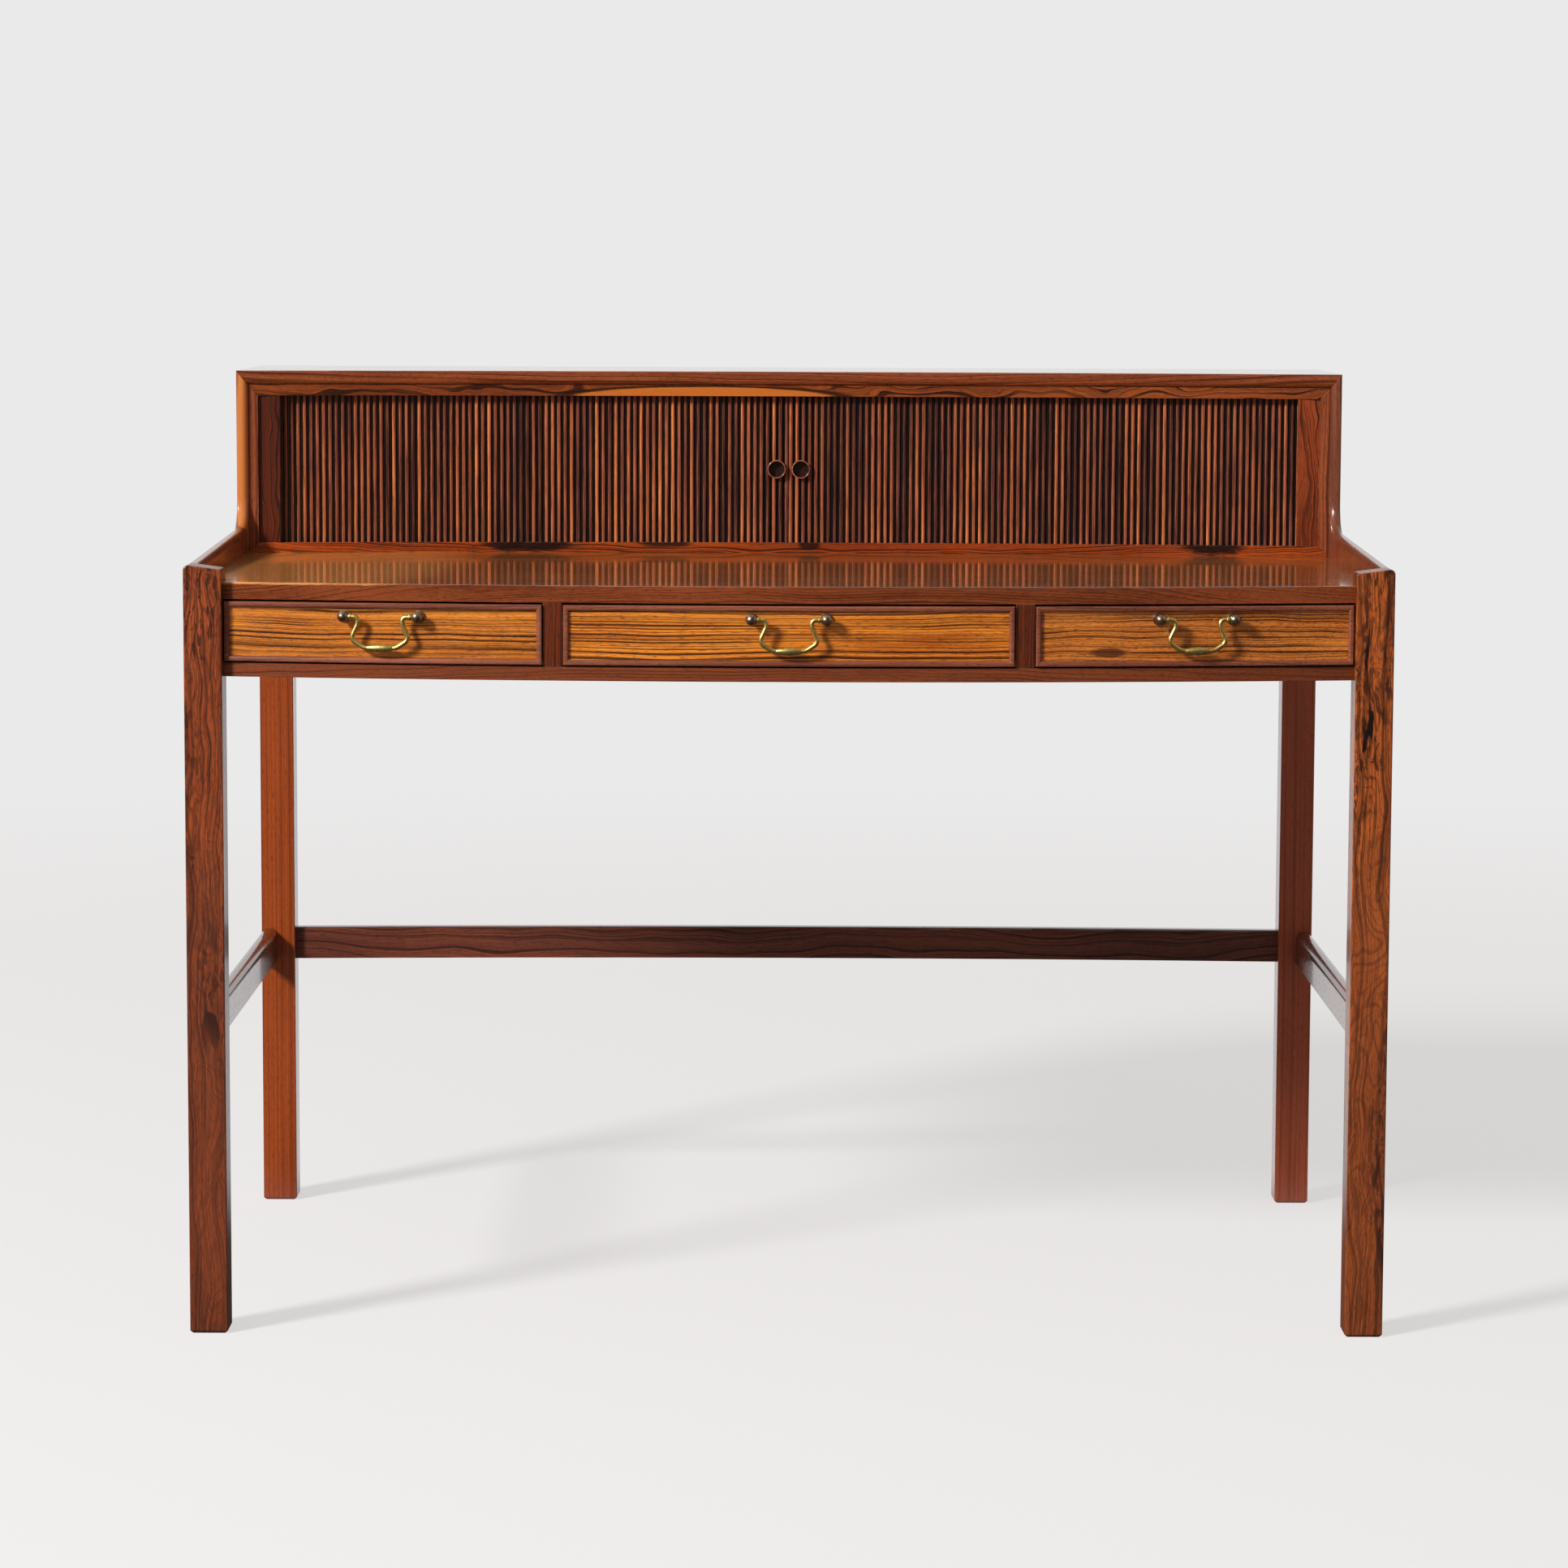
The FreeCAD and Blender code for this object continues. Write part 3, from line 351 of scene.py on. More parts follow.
    def eased_normal(self, height: Value, depth: float, strength: float, edge: float) -> Value:
        """Normal with fine relief and softened edges.

        Args:
            height: Relief, from 0 to 1.
            depth: Depth of the relief in metres.
            strength: Share of the relief that shows.
            edge: Radius of the edges in metres.

        Returns:
            The normal.
        """
        soft = self.add("ShaderNodeBevel", {"samples": BEVEL_SAMPLES}, {"Radius": edge})
        inputs = {"Strength": strength, "Distance": depth, "Height": height, "Normal": soft}
        return self.add("ShaderNodeBump", None, inputs)

    def edge_share(self, edge: float) -> Value:
        """Where the surface turns at an edge.

        Args:
            edge: Reach of the edge in metres.

        Returns:
            The share, 1 at the edge and 0 on the faces.
        """
        soft = self.add("ShaderNodeBevel", {"samples": BEVEL_SAMPLES}, {"Radius": edge})
        flat = self.add("ShaderNodeNewGeometry", output="Normal")
        settings = {"operation": "DOT_PRODUCT"}
        turn = self.add("ShaderNodeVectorMath", settings, {0: soft, 1: flat}, output="Value")
        return self.step(1.0 - turn, *EDGE_STEP)

    def finish(self, **inputs: "Value | Colour | float") -> None:
        """Ends a material with a Principled shader; a name's underscores stand for spaces.

        Args:
            **inputs: Values for the shader's sockets.
        """
        named = {key.replace("_", " "): given for key, given in inputs.items()}
        self.add_end(self.add("ShaderNodeBsdfPrincipled", None, named))

    def add_end(self, shader: Value) -> None:
        """Joins a shader to the material's output."""
        end = self.tree.nodes.new("ShaderNodeOutputMaterial")
        self.tree.links.new(shader.socket, end.inputs["Surface"])


# Finishes

WORN_WOOD = shade(204, 152, 108)


class Grain(Enum):
    """Axis that the fibres of a piece run along."""

    ALONG_WIDTH = (0, 1, 2)
    ALONG_DEPTH = (1, 0, 2)
    UPRIGHT = (2, 1, 0)


class LineSet(Enum):
    """Lines in the wood: pitch as a share of the finish's own, shift with its seed, octaves."""

    SILK = (0.3, 3.0, 2.0)
    BAND = (3.0, 5.0, 2.0)
    FIGURE = (1.0, 7.0, 2.0)
    HAIR = (0.42, 9.0, 1.0)


@dataclass(frozen=True)
class Patch:
    """A patch of colour laid over the wood, soft at its edge: a stain, knot or pale streak of the
    wood itself, or painted shade or a painted highlight.

    Its middle and half sizes are in metres; fray and soft are shares of its reach.
    """

    middle: Point
    half: Point
    colour: Colour
    share: float = 0.9
    fray: float = 1.2
    soft: float = 0.65
    rim: float = 0.0


@dataclass(frozen=True)
class WoodFinish:
    """Lacquered wood: figure lines, fibres, pores, broad changes of tone and worn edges.

    Lengths are in metres.
    """

    name: str
    grain: Grain
    pale: Colour
    deep: Colour
    line: Colour
    line_pitch: float = 0.004
    line_share: float = 0.7
    line_cut: float = 0.53
    line_soft: float = 0.10
    hair_share: float = 0.35
    band_share: float = 0.3
    sway: float = 0.004
    sway_length: float = 0.30
    tilt: float = 0.45
    fibre: float = 0.6
    broad: float = 1.1
    burl: float = 0.0
    burl_top: float = 0.8
    contour: float = 0.4
    gloss: float = 0.22
    lacquer: float = 0.5
    wear: float = 0.3
    edge: float = 0.0008
    seed: float = 0.0
    lip_height: float = 0.0
    lip: Colour = (0.0, 0.0, 0.0)
    painted_shade_height: float = 0.0
    pore_depth: float = 0.00012
    patches: tuple[Patch, ...] = ()

    def material(self) -> Material:
        """Builds the finish as a material."""
        material, graph = Graph.of_material(self.name)
        axes = graph.place()
        along, side, across = (axes[index] for index in self.grain.value)
        run = along + self.seed
        spot = (run, side, across)
        fibre = graph.streaks(spot, FIBRE_WAVES, 3.0, 0.6)
        tone, colour = self.figure(graph, spot, fibre)
        if self.lip_height:
            below = 1.0 - graph.step(axes[2], self.lip_height - SEAM, self.lip_height)
            lipping = graph.mix(graph.step(tone, *LIP_STEP), self.line, self.lip)
            colour = graph.mix(below, colour, lipping)
        pore = graph.step(graph.streaks(spot, PORE_WAVES, 1.0), *PORE_STEP)
        colour = graph.mix(pore * 0.6, colour, self.line)
        for patch in self.patches:
            colour = self.add_patch(graph, axes, patch, fibre, colour)
        rub = graph.noise(tuple(axis * RUB_WAVES for axis in axes), 3.0, 0.6)
        worn = graph.edge_share(self.edge * 1.2) * graph.step(rub, *RUB_STEP) * self.wear
        colour = graph.mix(worn, colour, WORN_WOOD)
        rough = self.gloss + (fibre - 0.5) * 0.08 + pore * 0.12 + worn * 0.2
        coat: Operand = self.lacquer
        # Painted shade: above this height the wood is painted in the dark line colour and made
        # rough and unlacquered, standing in for the shade on the rail's top under the drawer beads.
        if self.painted_shade_height:
            painted_top_shade = graph.step(axes[2], self.painted_shade_height - SEAM, self.painted_shade_height)
            colour = graph.mix(painted_top_shade, colour, self.line)
            rough = rough + painted_top_shade * 0.7
            coat = self.lacquer - painted_top_shade * self.lacquer
        graph.finish(
            Base_Color=colour,
            Roughness=rough,
            Normal=graph.eased_normal(1.0 - pore, self.pore_depth, 0.35, self.edge),
            IOR=REFRACTION,
            Coat_Weight=coat,
            Coat_Roughness=COAT_ROUGHNESS,
        )
        return material

    def figure(self, graph: Graph, spot: Spot, fibre: Value) -> tuple[Value, Value]:
        """Tone of the wood, with its bands, lines, hairlines and burl.

        Args:
            graph: Graph of the finish.
            spot: The point along the fibres, to their side and across them.
            fibre: Fine noise along the fibres.

        Returns:
            The tone, from 0 to 1, and the colour.
        """
        run, side, across = spot
        aside = self.sway_length * SWAY_SIDE
        wave = graph.noise((run / self.sway_length, side / aside, across / aside), 2.0)
        ring = across + side * self.tilt + (wave - 0.5) * (self.sway * 4)
        broad = graph.streaks(spot, BROAD_WAVES, 2.0) - 0.5
        silk = self.lines(graph, ring, LineSet.SILK) - 0.5
        tone = (fibre - 0.5) * self.fibre + silk * 0.9 + broad * self.broad + 0.5
        colour = graph.mix(graph.step(tone, *TONE_STEP), self.deep, self.pale)
        fade = graph.step(graph.streaks(spot, FADE_WAVES, 1.0), *FADE_STEP)
        band = graph.step(self.lines(graph, ring, LineSet.BAND), *BAND_STEP)
        colour = graph.mix(band * self.band_share, colour, self.line)
        dark = self.lines(graph, ring, LineSet.FIGURE)
        dark = graph.step(dark, self.line_cut, self.line_cut + self.line_soft) * (fade * 0.6 + 0.4)
        colour = graph.mix(dark * self.line_share, colour, self.line)
        hair = graph.step(self.lines(graph, ring, LineSet.HAIR), *HAIR_STEP)
        colour = graph.mix(hair * fade * self.hair_share, colour, self.line)
        if self.burl:
            colour = graph.mix(self.burl_share(graph, spot), colour, self.line)
        return tone, colour

    def lines(self, graph: Graph, ring: Value, kind: LineSet) -> Value:
        """One set of lines.

        Args:
            graph: Graph of the finish.
            ring: Place across the growth rings, in metres.
            kind: The set.

        Returns:
            Noise across the lines, from 0 to 1.
        """
        pitch, shift, detail = kind.value
        return graph.lines(ring / (self.line_pitch * pitch) + self.seed * shift, detail)

    def burl_share(self, graph: Graph, spot: Spot) -> Value:
        """Flecks, dark eyes and contour lines of figured wood.

        Args:
            graph: Graph of the finish.
            spot: The point along the fibres, to their side and across them.

        Returns:
            How dark the figure is, from 0 to 1.
        """
        run = spot[0]
        low = 1.0 - graph.step(run - self.seed, self.burl_top - 0.1, self.burl_top)
        crowd = graph.step(graph.streaks(spot, CROWD_WAVES, 2.0), *CROWD_STEP)
        fleck = graph.step(graph.streaks(spot, FLECK_WAVES, 3.0, 0.6, 1.0), *FLECK_STEP)
        fleck = fleck * (crowd * 0.8 + 0.2)
        eye = graph.step(graph.streaks(spot, EYE_WAVES, 3.0, 0.55, 0.8), *EYE_STEP)
        eye = eye * (crowd * 0.7 + 0.3) * (low * 0.85 + 0.15)
        bend = graph.streaks(spot, BEND_WAVES, 1.0, 0.5, 0.6)
        contour = graph.lines(bend * CONTOUR_LINES + self.seed, 1.0)
        contour = graph.step(contour, *CONTOUR_STEP)
        most = run.sum_of("MAXIMUM", fleck * 0.8, eye)
        return run.sum_of("MAXIMUM", most, contour * self.contour) * self.burl

    def add_patch(
        self, graph: Graph, axes: Spot, patch: Patch, fibre: Value, colour: Value
    ) -> Value:
        """Lays a patch over the wood.

        Args:
            graph: Graph of the finish.
            axes: The point.
            patch: The patch.
            fibre: Fine noise that frays the patch's edge.
            colour: The wood so far.

        Returns:
            The wood with the patch in it.
        """
        reach: Operand = 0.0
        for axis, middle, half in zip(axes, patch.middle, patch.half):
            away = (axis - middle) / half
            reach = away * away + reach
        reach = reach + (fibre - 0.5) * patch.fray
        inside = 1.0 - graph.step(reach, 1.0 - patch.soft, 1.0)
        colour = graph.mix(inside * patch.share, colour, patch.colour)
        if patch.rim:
            ring = graph.step(reach, 0.72, 0.9) * (1.0 - graph.step(reach, 1.0, 1.25))
            colour = graph.mix(ring * patch.rim, colour, self.line)
        return colour


@dataclass(frozen=True)
class ReedFinish:
    """Wood of the reeds, each with a tone of its own, with painted shade down in the grooves.

    Lengths are in metres; the reeds follow a circle about a point in front of the desk.
    """

    name: str
    tones: tuple[tuple[float, Colour], ...]
    centre_y: float
    crest: float
    groove_depth: float
    start: float
    pitch: float
    # Painted shade: colour laid on the wood down in the grooves, between these shares of the
    # groove's depth.
    groove: Colour = shade(16, 5, 4)
    groove_shade_step: Span = (0.42, 0.95)
    fleck: Colour = shade(22, 7, 5)
    fleck_step: Span = (0.56, 0.66)
    fleck_depth: float = 0.00015
    fleck_waves: Point = (5.3, 9000.0, 45.0)
    streak_waves: Point = (3.7, 5100.0, 15.0)
    broad_waves: Span = (0.21, 3.0)
    hand_shift: float = 137.0
    edge: float = 0.0003

    def material(self) -> Material:
        """Builds the finish as a material."""
        material, graph = Graph.of_material(self.name)
        x, y, z = graph.place()
        ahead = y - self.centre_y
        turn = x.sum_of("ARCTAN2", x.sum_of("ABSOLUTE", x, 0.0), ahead)
        number = x.sum_of("FLOOR", (turn * self.crest - self.start) / self.pitch, 0.0)
        number = number + x.sum_of("SIGN", x, 0.0) * self.hand_shift
        chance = graph.add("ShaderNodeTexWhiteNoise", {"noise_dimensions": "1D"}, {"W": number})
        spot = (number, turn, z)
        streak = graph.noise(scaled(spot, self.streak_waves), 4.0, 0.7) - 0.5
        broad = graph.noise((*scaled((number, z), self.broad_waves), 0.5), 2.0) - 0.5
        tone = chance * 0.5 + streak * 1.7 + broad * 0.6 + 0.22
        colour = graph.add("ShaderNodeValToRGB", {"stops": self.tones}, {"Fac": tone})
        fleck = graph.step(graph.noise(scaled(spot, self.fleck_waves), 2.0), *self.fleck_step)
        colour = graph.mix(fleck * 0.6, colour, self.fleck)
        # Painted shade: the wood turns to the groove colour with depth below the crests of the
        # reeds.
        deep = x.sum_of("SQRT", x * x + ahead * ahead, 0.0) - self.crest
        shallow, full = (self.groove_depth * share for share in self.groove_shade_step)
        colour = graph.mix(graph.step(deep, shallow, full), colour, self.groove)
        normal = graph.eased_normal(1.0 - fleck, self.fleck_depth, 0.3, self.edge)
        rough = 0.26 + streak * 0.1
        graph.finish(Base_Color=colour, Roughness=rough, Normal=normal, IOR=REFRACTION)
        return material


@dataclass(frozen=True)
class MetalFinish:
    """Worn metal: clear on what is touched, dull and darker elsewhere."""

    name: str
    bright: Colour
    dull: Colour
    rough: float
    spot_size: float = 0.004
    spot_step: Span = (0.40, 0.68)
    scratch_waves: Point = (900.0, 900.0, 2500.0)
    scratch_depth: float = 0.00005
    edge: float = 0.0004

    def material(self) -> Material:
        """Builds the finish as a material."""
        material, graph = Graph.of_material(self.name)
        x, y, z = graph.place()
        size = self.spot_size
        spots = graph.noise((x / size, y / size, z / size), 3.0, 0.6)
        scratch = graph.noise(scaled((x, y, z), self.scratch_waves), 2.0)
        colour = graph.mix(graph.step(spots, *self.spot_step), self.bright, self.dull)
        rough = self.rough + (spots - 0.5) * 0.25 + (scratch - 0.5) * 0.12
        normal = graph.eased_normal(scratch, self.scratch_depth, 0.2, self.edge)
        graph.finish(Base_Color=colour, Metallic=1.0, Roughness=rough, Normal=normal)
        return material


@dataclass(frozen=True)
class CanvasFinish:
    """Plain woven cloth."""

    name: str
    pale: Colour
    dark: Colour
    thread: float = 0.0009
    thread_depth: float = 0.0002
    soil_waves: float = 30.0

    def material(self) -> Material:
        """Builds the finish as a material."""
        material, graph = Graph.of_material(self.name)
        x, y, z = graph.place()
        turn = 2 * math.pi / self.thread
        weft = x.sum_of("SINE", x * turn, 0.0)
        warp = x.sum_of("SINE", z * turn, 0.0)
        weave = weft * warp * 0.5 + 0.5
        soil = graph.noise(tuple(axis * self.soil_waves for axis in (x, y, z)), 3.0)
        colour = graph.mix(weave * 0.6 + soil * 0.4, self.dark, self.pale)
        inputs = {"Strength": 0.4, "Distance": self.thread_depth, "Height": weave}
        bump = graph.add("ShaderNodeBump", None, inputs)
        graph.finish(Base_Color=colour, Roughness=0.85 - weave * 0.1, Normal=bump)
        return material


# Each front leg has a patch that darkens it towards the foot.
FRONT_LEG_LEFT = WoodFinish(
    "front_leg_left_wood", Grain.UPRIGHT, shade(172, 80, 34), shade(118, 49, 17), shade(22, 7, 3),
    line_pitch=0.0032, line_share=0.6, line_cut=0.51, hair_share=0.5, band_share=0.35, sway=0.010,
    sway_length=0.14, burl=1.0, burl_top=0.68, contour=0.3, gloss=0.3, lacquer=0.1, seed=1.7,
    patches=(Patch((-0.58, -0.33, 0.2), (0.3, 0.3, 0.34), shade(78, 38, 26), 0.45),),
)
FRONT_LEG_RIGHT = WoodFinish(
    "front_leg_right_wood", Grain.UPRIGHT, shade(190, 94, 34), shade(134, 60, 19), shade(24, 9, 3),
    line_pitch=0.0032, line_share=0.55, line_cut=0.51, hair_share=0.45, band_share=0.3, sway=0.010,
    sway_length=0.14, burl=1.0, gloss=0.3, lacquer=0.1, seed=5.3,
    patches=(Patch((0.58, -0.33, 0.2), (0.3, 0.3, 0.34), shade(84, 42, 26), 0.35),),
)
BACK_LEG_LEFT = WoodFinish(
    "back_leg_left_wood", Grain.UPRIGHT, shade(162, 73, 26), shade(128, 51, 15), shade(84, 29, 9),
    line_pitch=0.0032, line_share=0.5, sway=0.0015, sway_length=0.6, seed=2.9,
)
# Painted light: the right back leg is coloured lighter than its wood, standing in for light that
# the table's shadow keeps from it.
BACK_LEG_RIGHT = WoodFinish(
    "back_leg_right_wood", Grain.UPRIGHT, shade(178, 86, 54), shade(150, 70, 43), shade(96, 42, 26),
    line_pitch=0.0036, line_share=0.4, sway=0.002, sway_length=0.5, seed=8.1,
)
BACK_STRETCHER = WoodFinish(
    "back_stretcher_wood", Grain.ALONG_WIDTH, shade(126, 63, 44), shade(80, 41, 30),
    shade(34, 16, 11), line_pitch=0.0045, line_share=0.7, sway=0.012, sway_length=0.22, seed=3.1,
)
SIDE_STRETCHER = WoodFinish(
    "side_stretcher_wood", Grain.ALONG_DEPTH, shade(118, 56, 34), shade(80, 37, 24),
    shade(38, 17, 11), line_pitch=0.004, sway=0.004, seed=4.4,
)
# The rail's top face is painted dark and matt as shade under the drawer beads.
RAIL = WoodFinish(
    "rail_wood", Grain.ALONG_WIDTH, shade(128, 62, 30), shade(98, 43, 20), shade(52, 20, 8),
    line_pitch=0.003, line_share=0.55, sway=0.005, sway_length=0.18, seed=6.2, painted_shade_height=0.6769,
)
APRON = replace(RAIL, name="apron_wood", painted_shade_height=0.0)
WORKTOP = WoodFinish(
    "worktop_wood", Grain.ALONG_WIDTH, shade(190, 112, 52), shade(140, 72, 29), shade(64, 25, 8),
    line_pitch=0.006, line_share=0.65, sway=0.012, sway_length=0.45, tilt=0.9, gloss=0.08,
    lacquer=0.4, seed=2.2, wear=0.12, lip_height=0.7568, lip=shade(130, 63, 31),
    # A paler golden area at the left of the top.
    patches=(Patch((-0.52, -0.02, 0.757), (0.20, 0.6, 0.003), shade(226, 150, 78), 0.75),),
)
DIVIDER = WoodFinish(
    "divider_wood", Grain.UPRIGHT, shade(114, 47, 18), shade(70, 26, 10), shade(22, 7, 3),
    line_pitch=0.003, line_share=0.8, sway=0.003, sway_length=0.1, seed=7.7,
)
SIDE_LEFT = WoodFinish(
    "side_left_wood", Grain.UPRIGHT, shade(152, 78, 38), shade(108, 50, 22), shade(54, 21, 9),
    line_pitch=0.005, line_share=0.5, sway=0.008, tilt=0.35, seed=9.3,
    patches=(
        # Painted highlight: a pale streak down the front edge of the left side board, where the
        # lamp catches it.
        Patch(
            (-0.593, 0.134, 0.85), (0.0074, 0.024, 0.16), shade(206, 124, 60), 0.8, fray=0.5,
            soft=0.4,
        ),
    ),
)
SIDE_RIGHT = WoodFinish(
    "side_right_wood", Grain.UPRIGHT, shade(138, 77, 49), shade(100, 50, 31), shade(60, 25, 14),
    line_pitch=0.005, line_share=0.5, sway=0.008, tilt=0.35, seed=3.9,
)
CASE_TOP = WoodFinish(
    "case_top_wood", Grain.ALONG_WIDTH, shade(162, 83, 47), shade(116, 53, 26), shade(46, 15, 6),
    line_pitch=0.004, line_share=0.75, sway=0.004, gloss=0.14, lacquer=0.9, seed=1.2,
)
STRIP = replace(CASE_TOP, name="strip_wood", grain=Grain.UPRIGHT, gloss=0.22, lacquer=0.3)
HEAD = WoodFinish(
    "head_wood", Grain.ALONG_WIDTH, shade(152, 74, 26), shade(98, 40, 13), shade(28, 9, 3),
    line_pitch=0.0040, line_share=0.9, line_cut=0.50, hair_share=0.5, sway=0.013, sway_length=0.11,
    seed=4.8,
    patches=(
        Patch(
            (-0.094, 0.18, 0.9265), (0.158, 0.1, 0.0125), shade(192, 104, 32), 0.84, fray=0.2,
            soft=0.2, rim=0.9,
        ),
    ),
)
SILL = WoodFinish(
    "sill_wood", Grain.ALONG_WIDTH, shade(180, 76, 14), shade(118, 40, 5), shade(38, 10, 3),
    line_pitch=0.004, line_share=0.85, line_cut=0.50, sway=0.006, sway_length=0.15, seed=2.6,
    patches=(
        Patch((-0.285, 0.19, 0.766), (0.066, 0.1, 0.010), shade(16, 5, 4), 0.97),
        Patch((-0.135, 0.19, 0.767), (0.036, 0.1, 0.006), shade(20, 6, 4)),
        Patch((0.023, 0.19, 0.767), (0.015, 0.1, 0.009), shade(20, 6, 4)),
        Patch((0.464, 0.18, 0.766), (0.042, 0.1, 0.011), shade(16, 5, 4), 0.97),
    ),
)
STILE_LEFT = WoodFinish(
    "stile_left_wood", Grain.UPRIGHT, shade(106, 42, 19), shade(72, 28, 13), shade(28, 10, 6),
    line_pitch=0.005, line_share=0.75, sway=0.012, sway_length=0.10, seed=5.9,
)
STILE_RIGHT = WoodFinish(
    "stile_right_wood", Grain.UPRIGHT, shade(158, 69, 29), shade(98, 38, 15), shade(36, 12, 5),
    line_pitch=0.005, line_share=0.85, sway=0.012, sway_length=0.10, seed=8.8,
)
INSIDE = WoodFinish(
    "inside_wood", Grain.ALONG_WIDTH, shade(132, 64, 36), shade(96, 44, 25), shade(58, 25, 14),
    line_pitch=0.006, line_share=0.5, sway=0.008, seed=7.1, gloss=0.34, lacquer=0.1,
)
DRAWER_LEFT = WoodFinish(
    "drawer_left_veneer", Grain.ALONG_WIDTH, shade(222, 134, 44), shade(144, 62, 9),
    shade(38, 10, 1),
    line_pitch=0.0028, line_share=0.88, line_cut=0.50, hair_share=0.7,
    sway=0.0030, sway_length=0.16, tilt=0.0, seed=1.4,
)
DRAWER_CENTRE = replace(
    DRAWER_LEFT, name="drawer_centre_veneer",
    pale=shade(234, 142, 44), deep=shade(160, 70, 10), line=shade(42, 11, 1),
    line_pitch=0.0032, sway=0.0036, sway_length=0.22, seed=6.6,
)
DRAWER_RIGHT = replace(
    DRAWER_LEFT, name="drawer_right_veneer",
    pale=shade(224, 134, 52), deep=shade(148, 66, 16), line=shade(38, 11, 2),
    line_pitch=0.0030, sway=0.0044, sway_length=0.15, seed=3.5,
    patches=(Patch((0.315, -0.35, 0.692), (0.022, 0.05, 0.006), shade(58, 24, 9), 0.8),),
)
BEAD = WoodFinish(
    "bead_wood", Grain.ALONG_WIDTH, shade(150, 82, 54), shade(98, 44, 26), shade(42, 15, 7),
    line_pitch=0.003, line_share=0.3, hair_share=0.15, band_share=0.15, sway=0.002, seed=9.9,
    edge=0.0005, gloss=0.36, lacquer=0.0,
)
BOX_WOOD = WoodFinish(
    "drawer_box_wood", Grain.ALONG_DEPTH, shade(206, 164, 112), shade(178, 132, 84),
    shade(140, 96, 56),
    line_pitch=0.008, line_share=0.4, hair_share=0.2, sway=0.006, seed=2.0, gloss=0.42, lacquer=0.0,
)
# Painted shade: a dark disc laid over the inside of each pull's cup.
CUP_SHADE = Patch((0.0133, 0.19, 0.848), (0.0096, 0.1, 0.0096), shade(26, 8, 6), 0.96, 0.1, 0.2)
PULL = WoodFinish(
    "pull_wood", Grain.ALONG_DEPTH, shade(190, 112, 78), shade(144, 76, 50), shade(60, 24, 14),
    line_pitch=0.003, line_share=0.5, sway=0.002, seed=5.5, edge=0.0004,
    patches=(replace(CUP_SHADE, middle=(-0.0133, 0.19, 0.848)), CUP_SHADE),
)
BRASS = MetalFinish("bail_brass", shade(240, 214, 130), shade(204, 162, 80), 0.38)
BRONZE = MetalFinish("stud_bronze", shade(178, 152, 126), shade(112, 86, 66), 0.34)
CANVAS = CanvasFinish("curtain_canvas", shade(150, 132, 104), shade(104, 88, 66))
REED_TONES = (
    (0.0, shade(34, 15, 13)),
    (0.22, shade(72, 38, 31)),
    (0.46, shade(120, 63, 44)),
    (0.72, shade(172, 93, 56)),
    (1.0, shade(226, 134, 60)),
)


# Sub-assemblies


def paint(finish: WoodFinish | ReedFinish | MetalFinish, *nodes: str) -> None:
    """Gives CAD nodes one finish.

    Args:
        finish: The finish.
        *nodes: Names of the nodes.
    """
    material = finish.material()
    for name in nodes:
        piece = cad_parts[name]
        if not piece.material_slots:
            piece.data.materials.append(material)
        for slot in piece.material_slots:
            slot.material = material
        LOG.info("%s has %s", name, finish.name)


@dataclass
class Underframe:
    """Legs and the stretchers between them."""

    hands: tuple[str, str] = ("left", "right")

    def dress(self) -> None:
        """Gives each leg and stretcher its wood."""
        paint(FRONT_LEG_LEFT, "leg_front_left")
        paint(FRONT_LEG_RIGHT, "leg_front_right")
        paint(BACK_LEG_LEFT, "leg_back_left")
        paint(BACK_LEG_RIGHT, "leg_back_right")
        paint(SIDE_STRETCHER, *(f"stretcher_{hand}" for hand in self.hands))
        paint(BACK_STRETCHER, "stretcher_back")


@dataclass
class Carcass:
    """Table top and the frame that the drawers run in."""

    hands: tuple[str, str] = ("left", "right")

    def dress(self) -> None:
        """Gives each board its wood."""
        paint(WORKTOP, "table_top")
        paint(RAIL, "front_rail")
        paint(APRON, "apron_back")
        paint(DIVIDER, *(f"divider_{hand}" for hand in self.hands))
        paint(BOX_WOOD, "drawer_runners")


@dataclass
class TambourCase:
    """Case above the table top, with the frame of the tambour front."""

    linings: tuple[str, ...] = ("lining_left", "lining_right", "lining_back")

    def dress(self) -> None:
        """Gives each board its wood."""
        paint(SIDE_LEFT, "side_board_left")
        paint(SIDE_RIGHT, "side_board_right")
        paint(CASE_TOP, "case_top")
        paint(STRIP, "frame_strip_left", "frame_strip_right")
        paint(HEAD, "frame_head")
        paint(SILL, "frame_sill")
        paint(STILE_LEFT, "stile_left")
        paint(STILE_RIGHT, "stile_right")
        paint(INSIDE, "case_back", "track_lower", "track_upper", *self.linings)


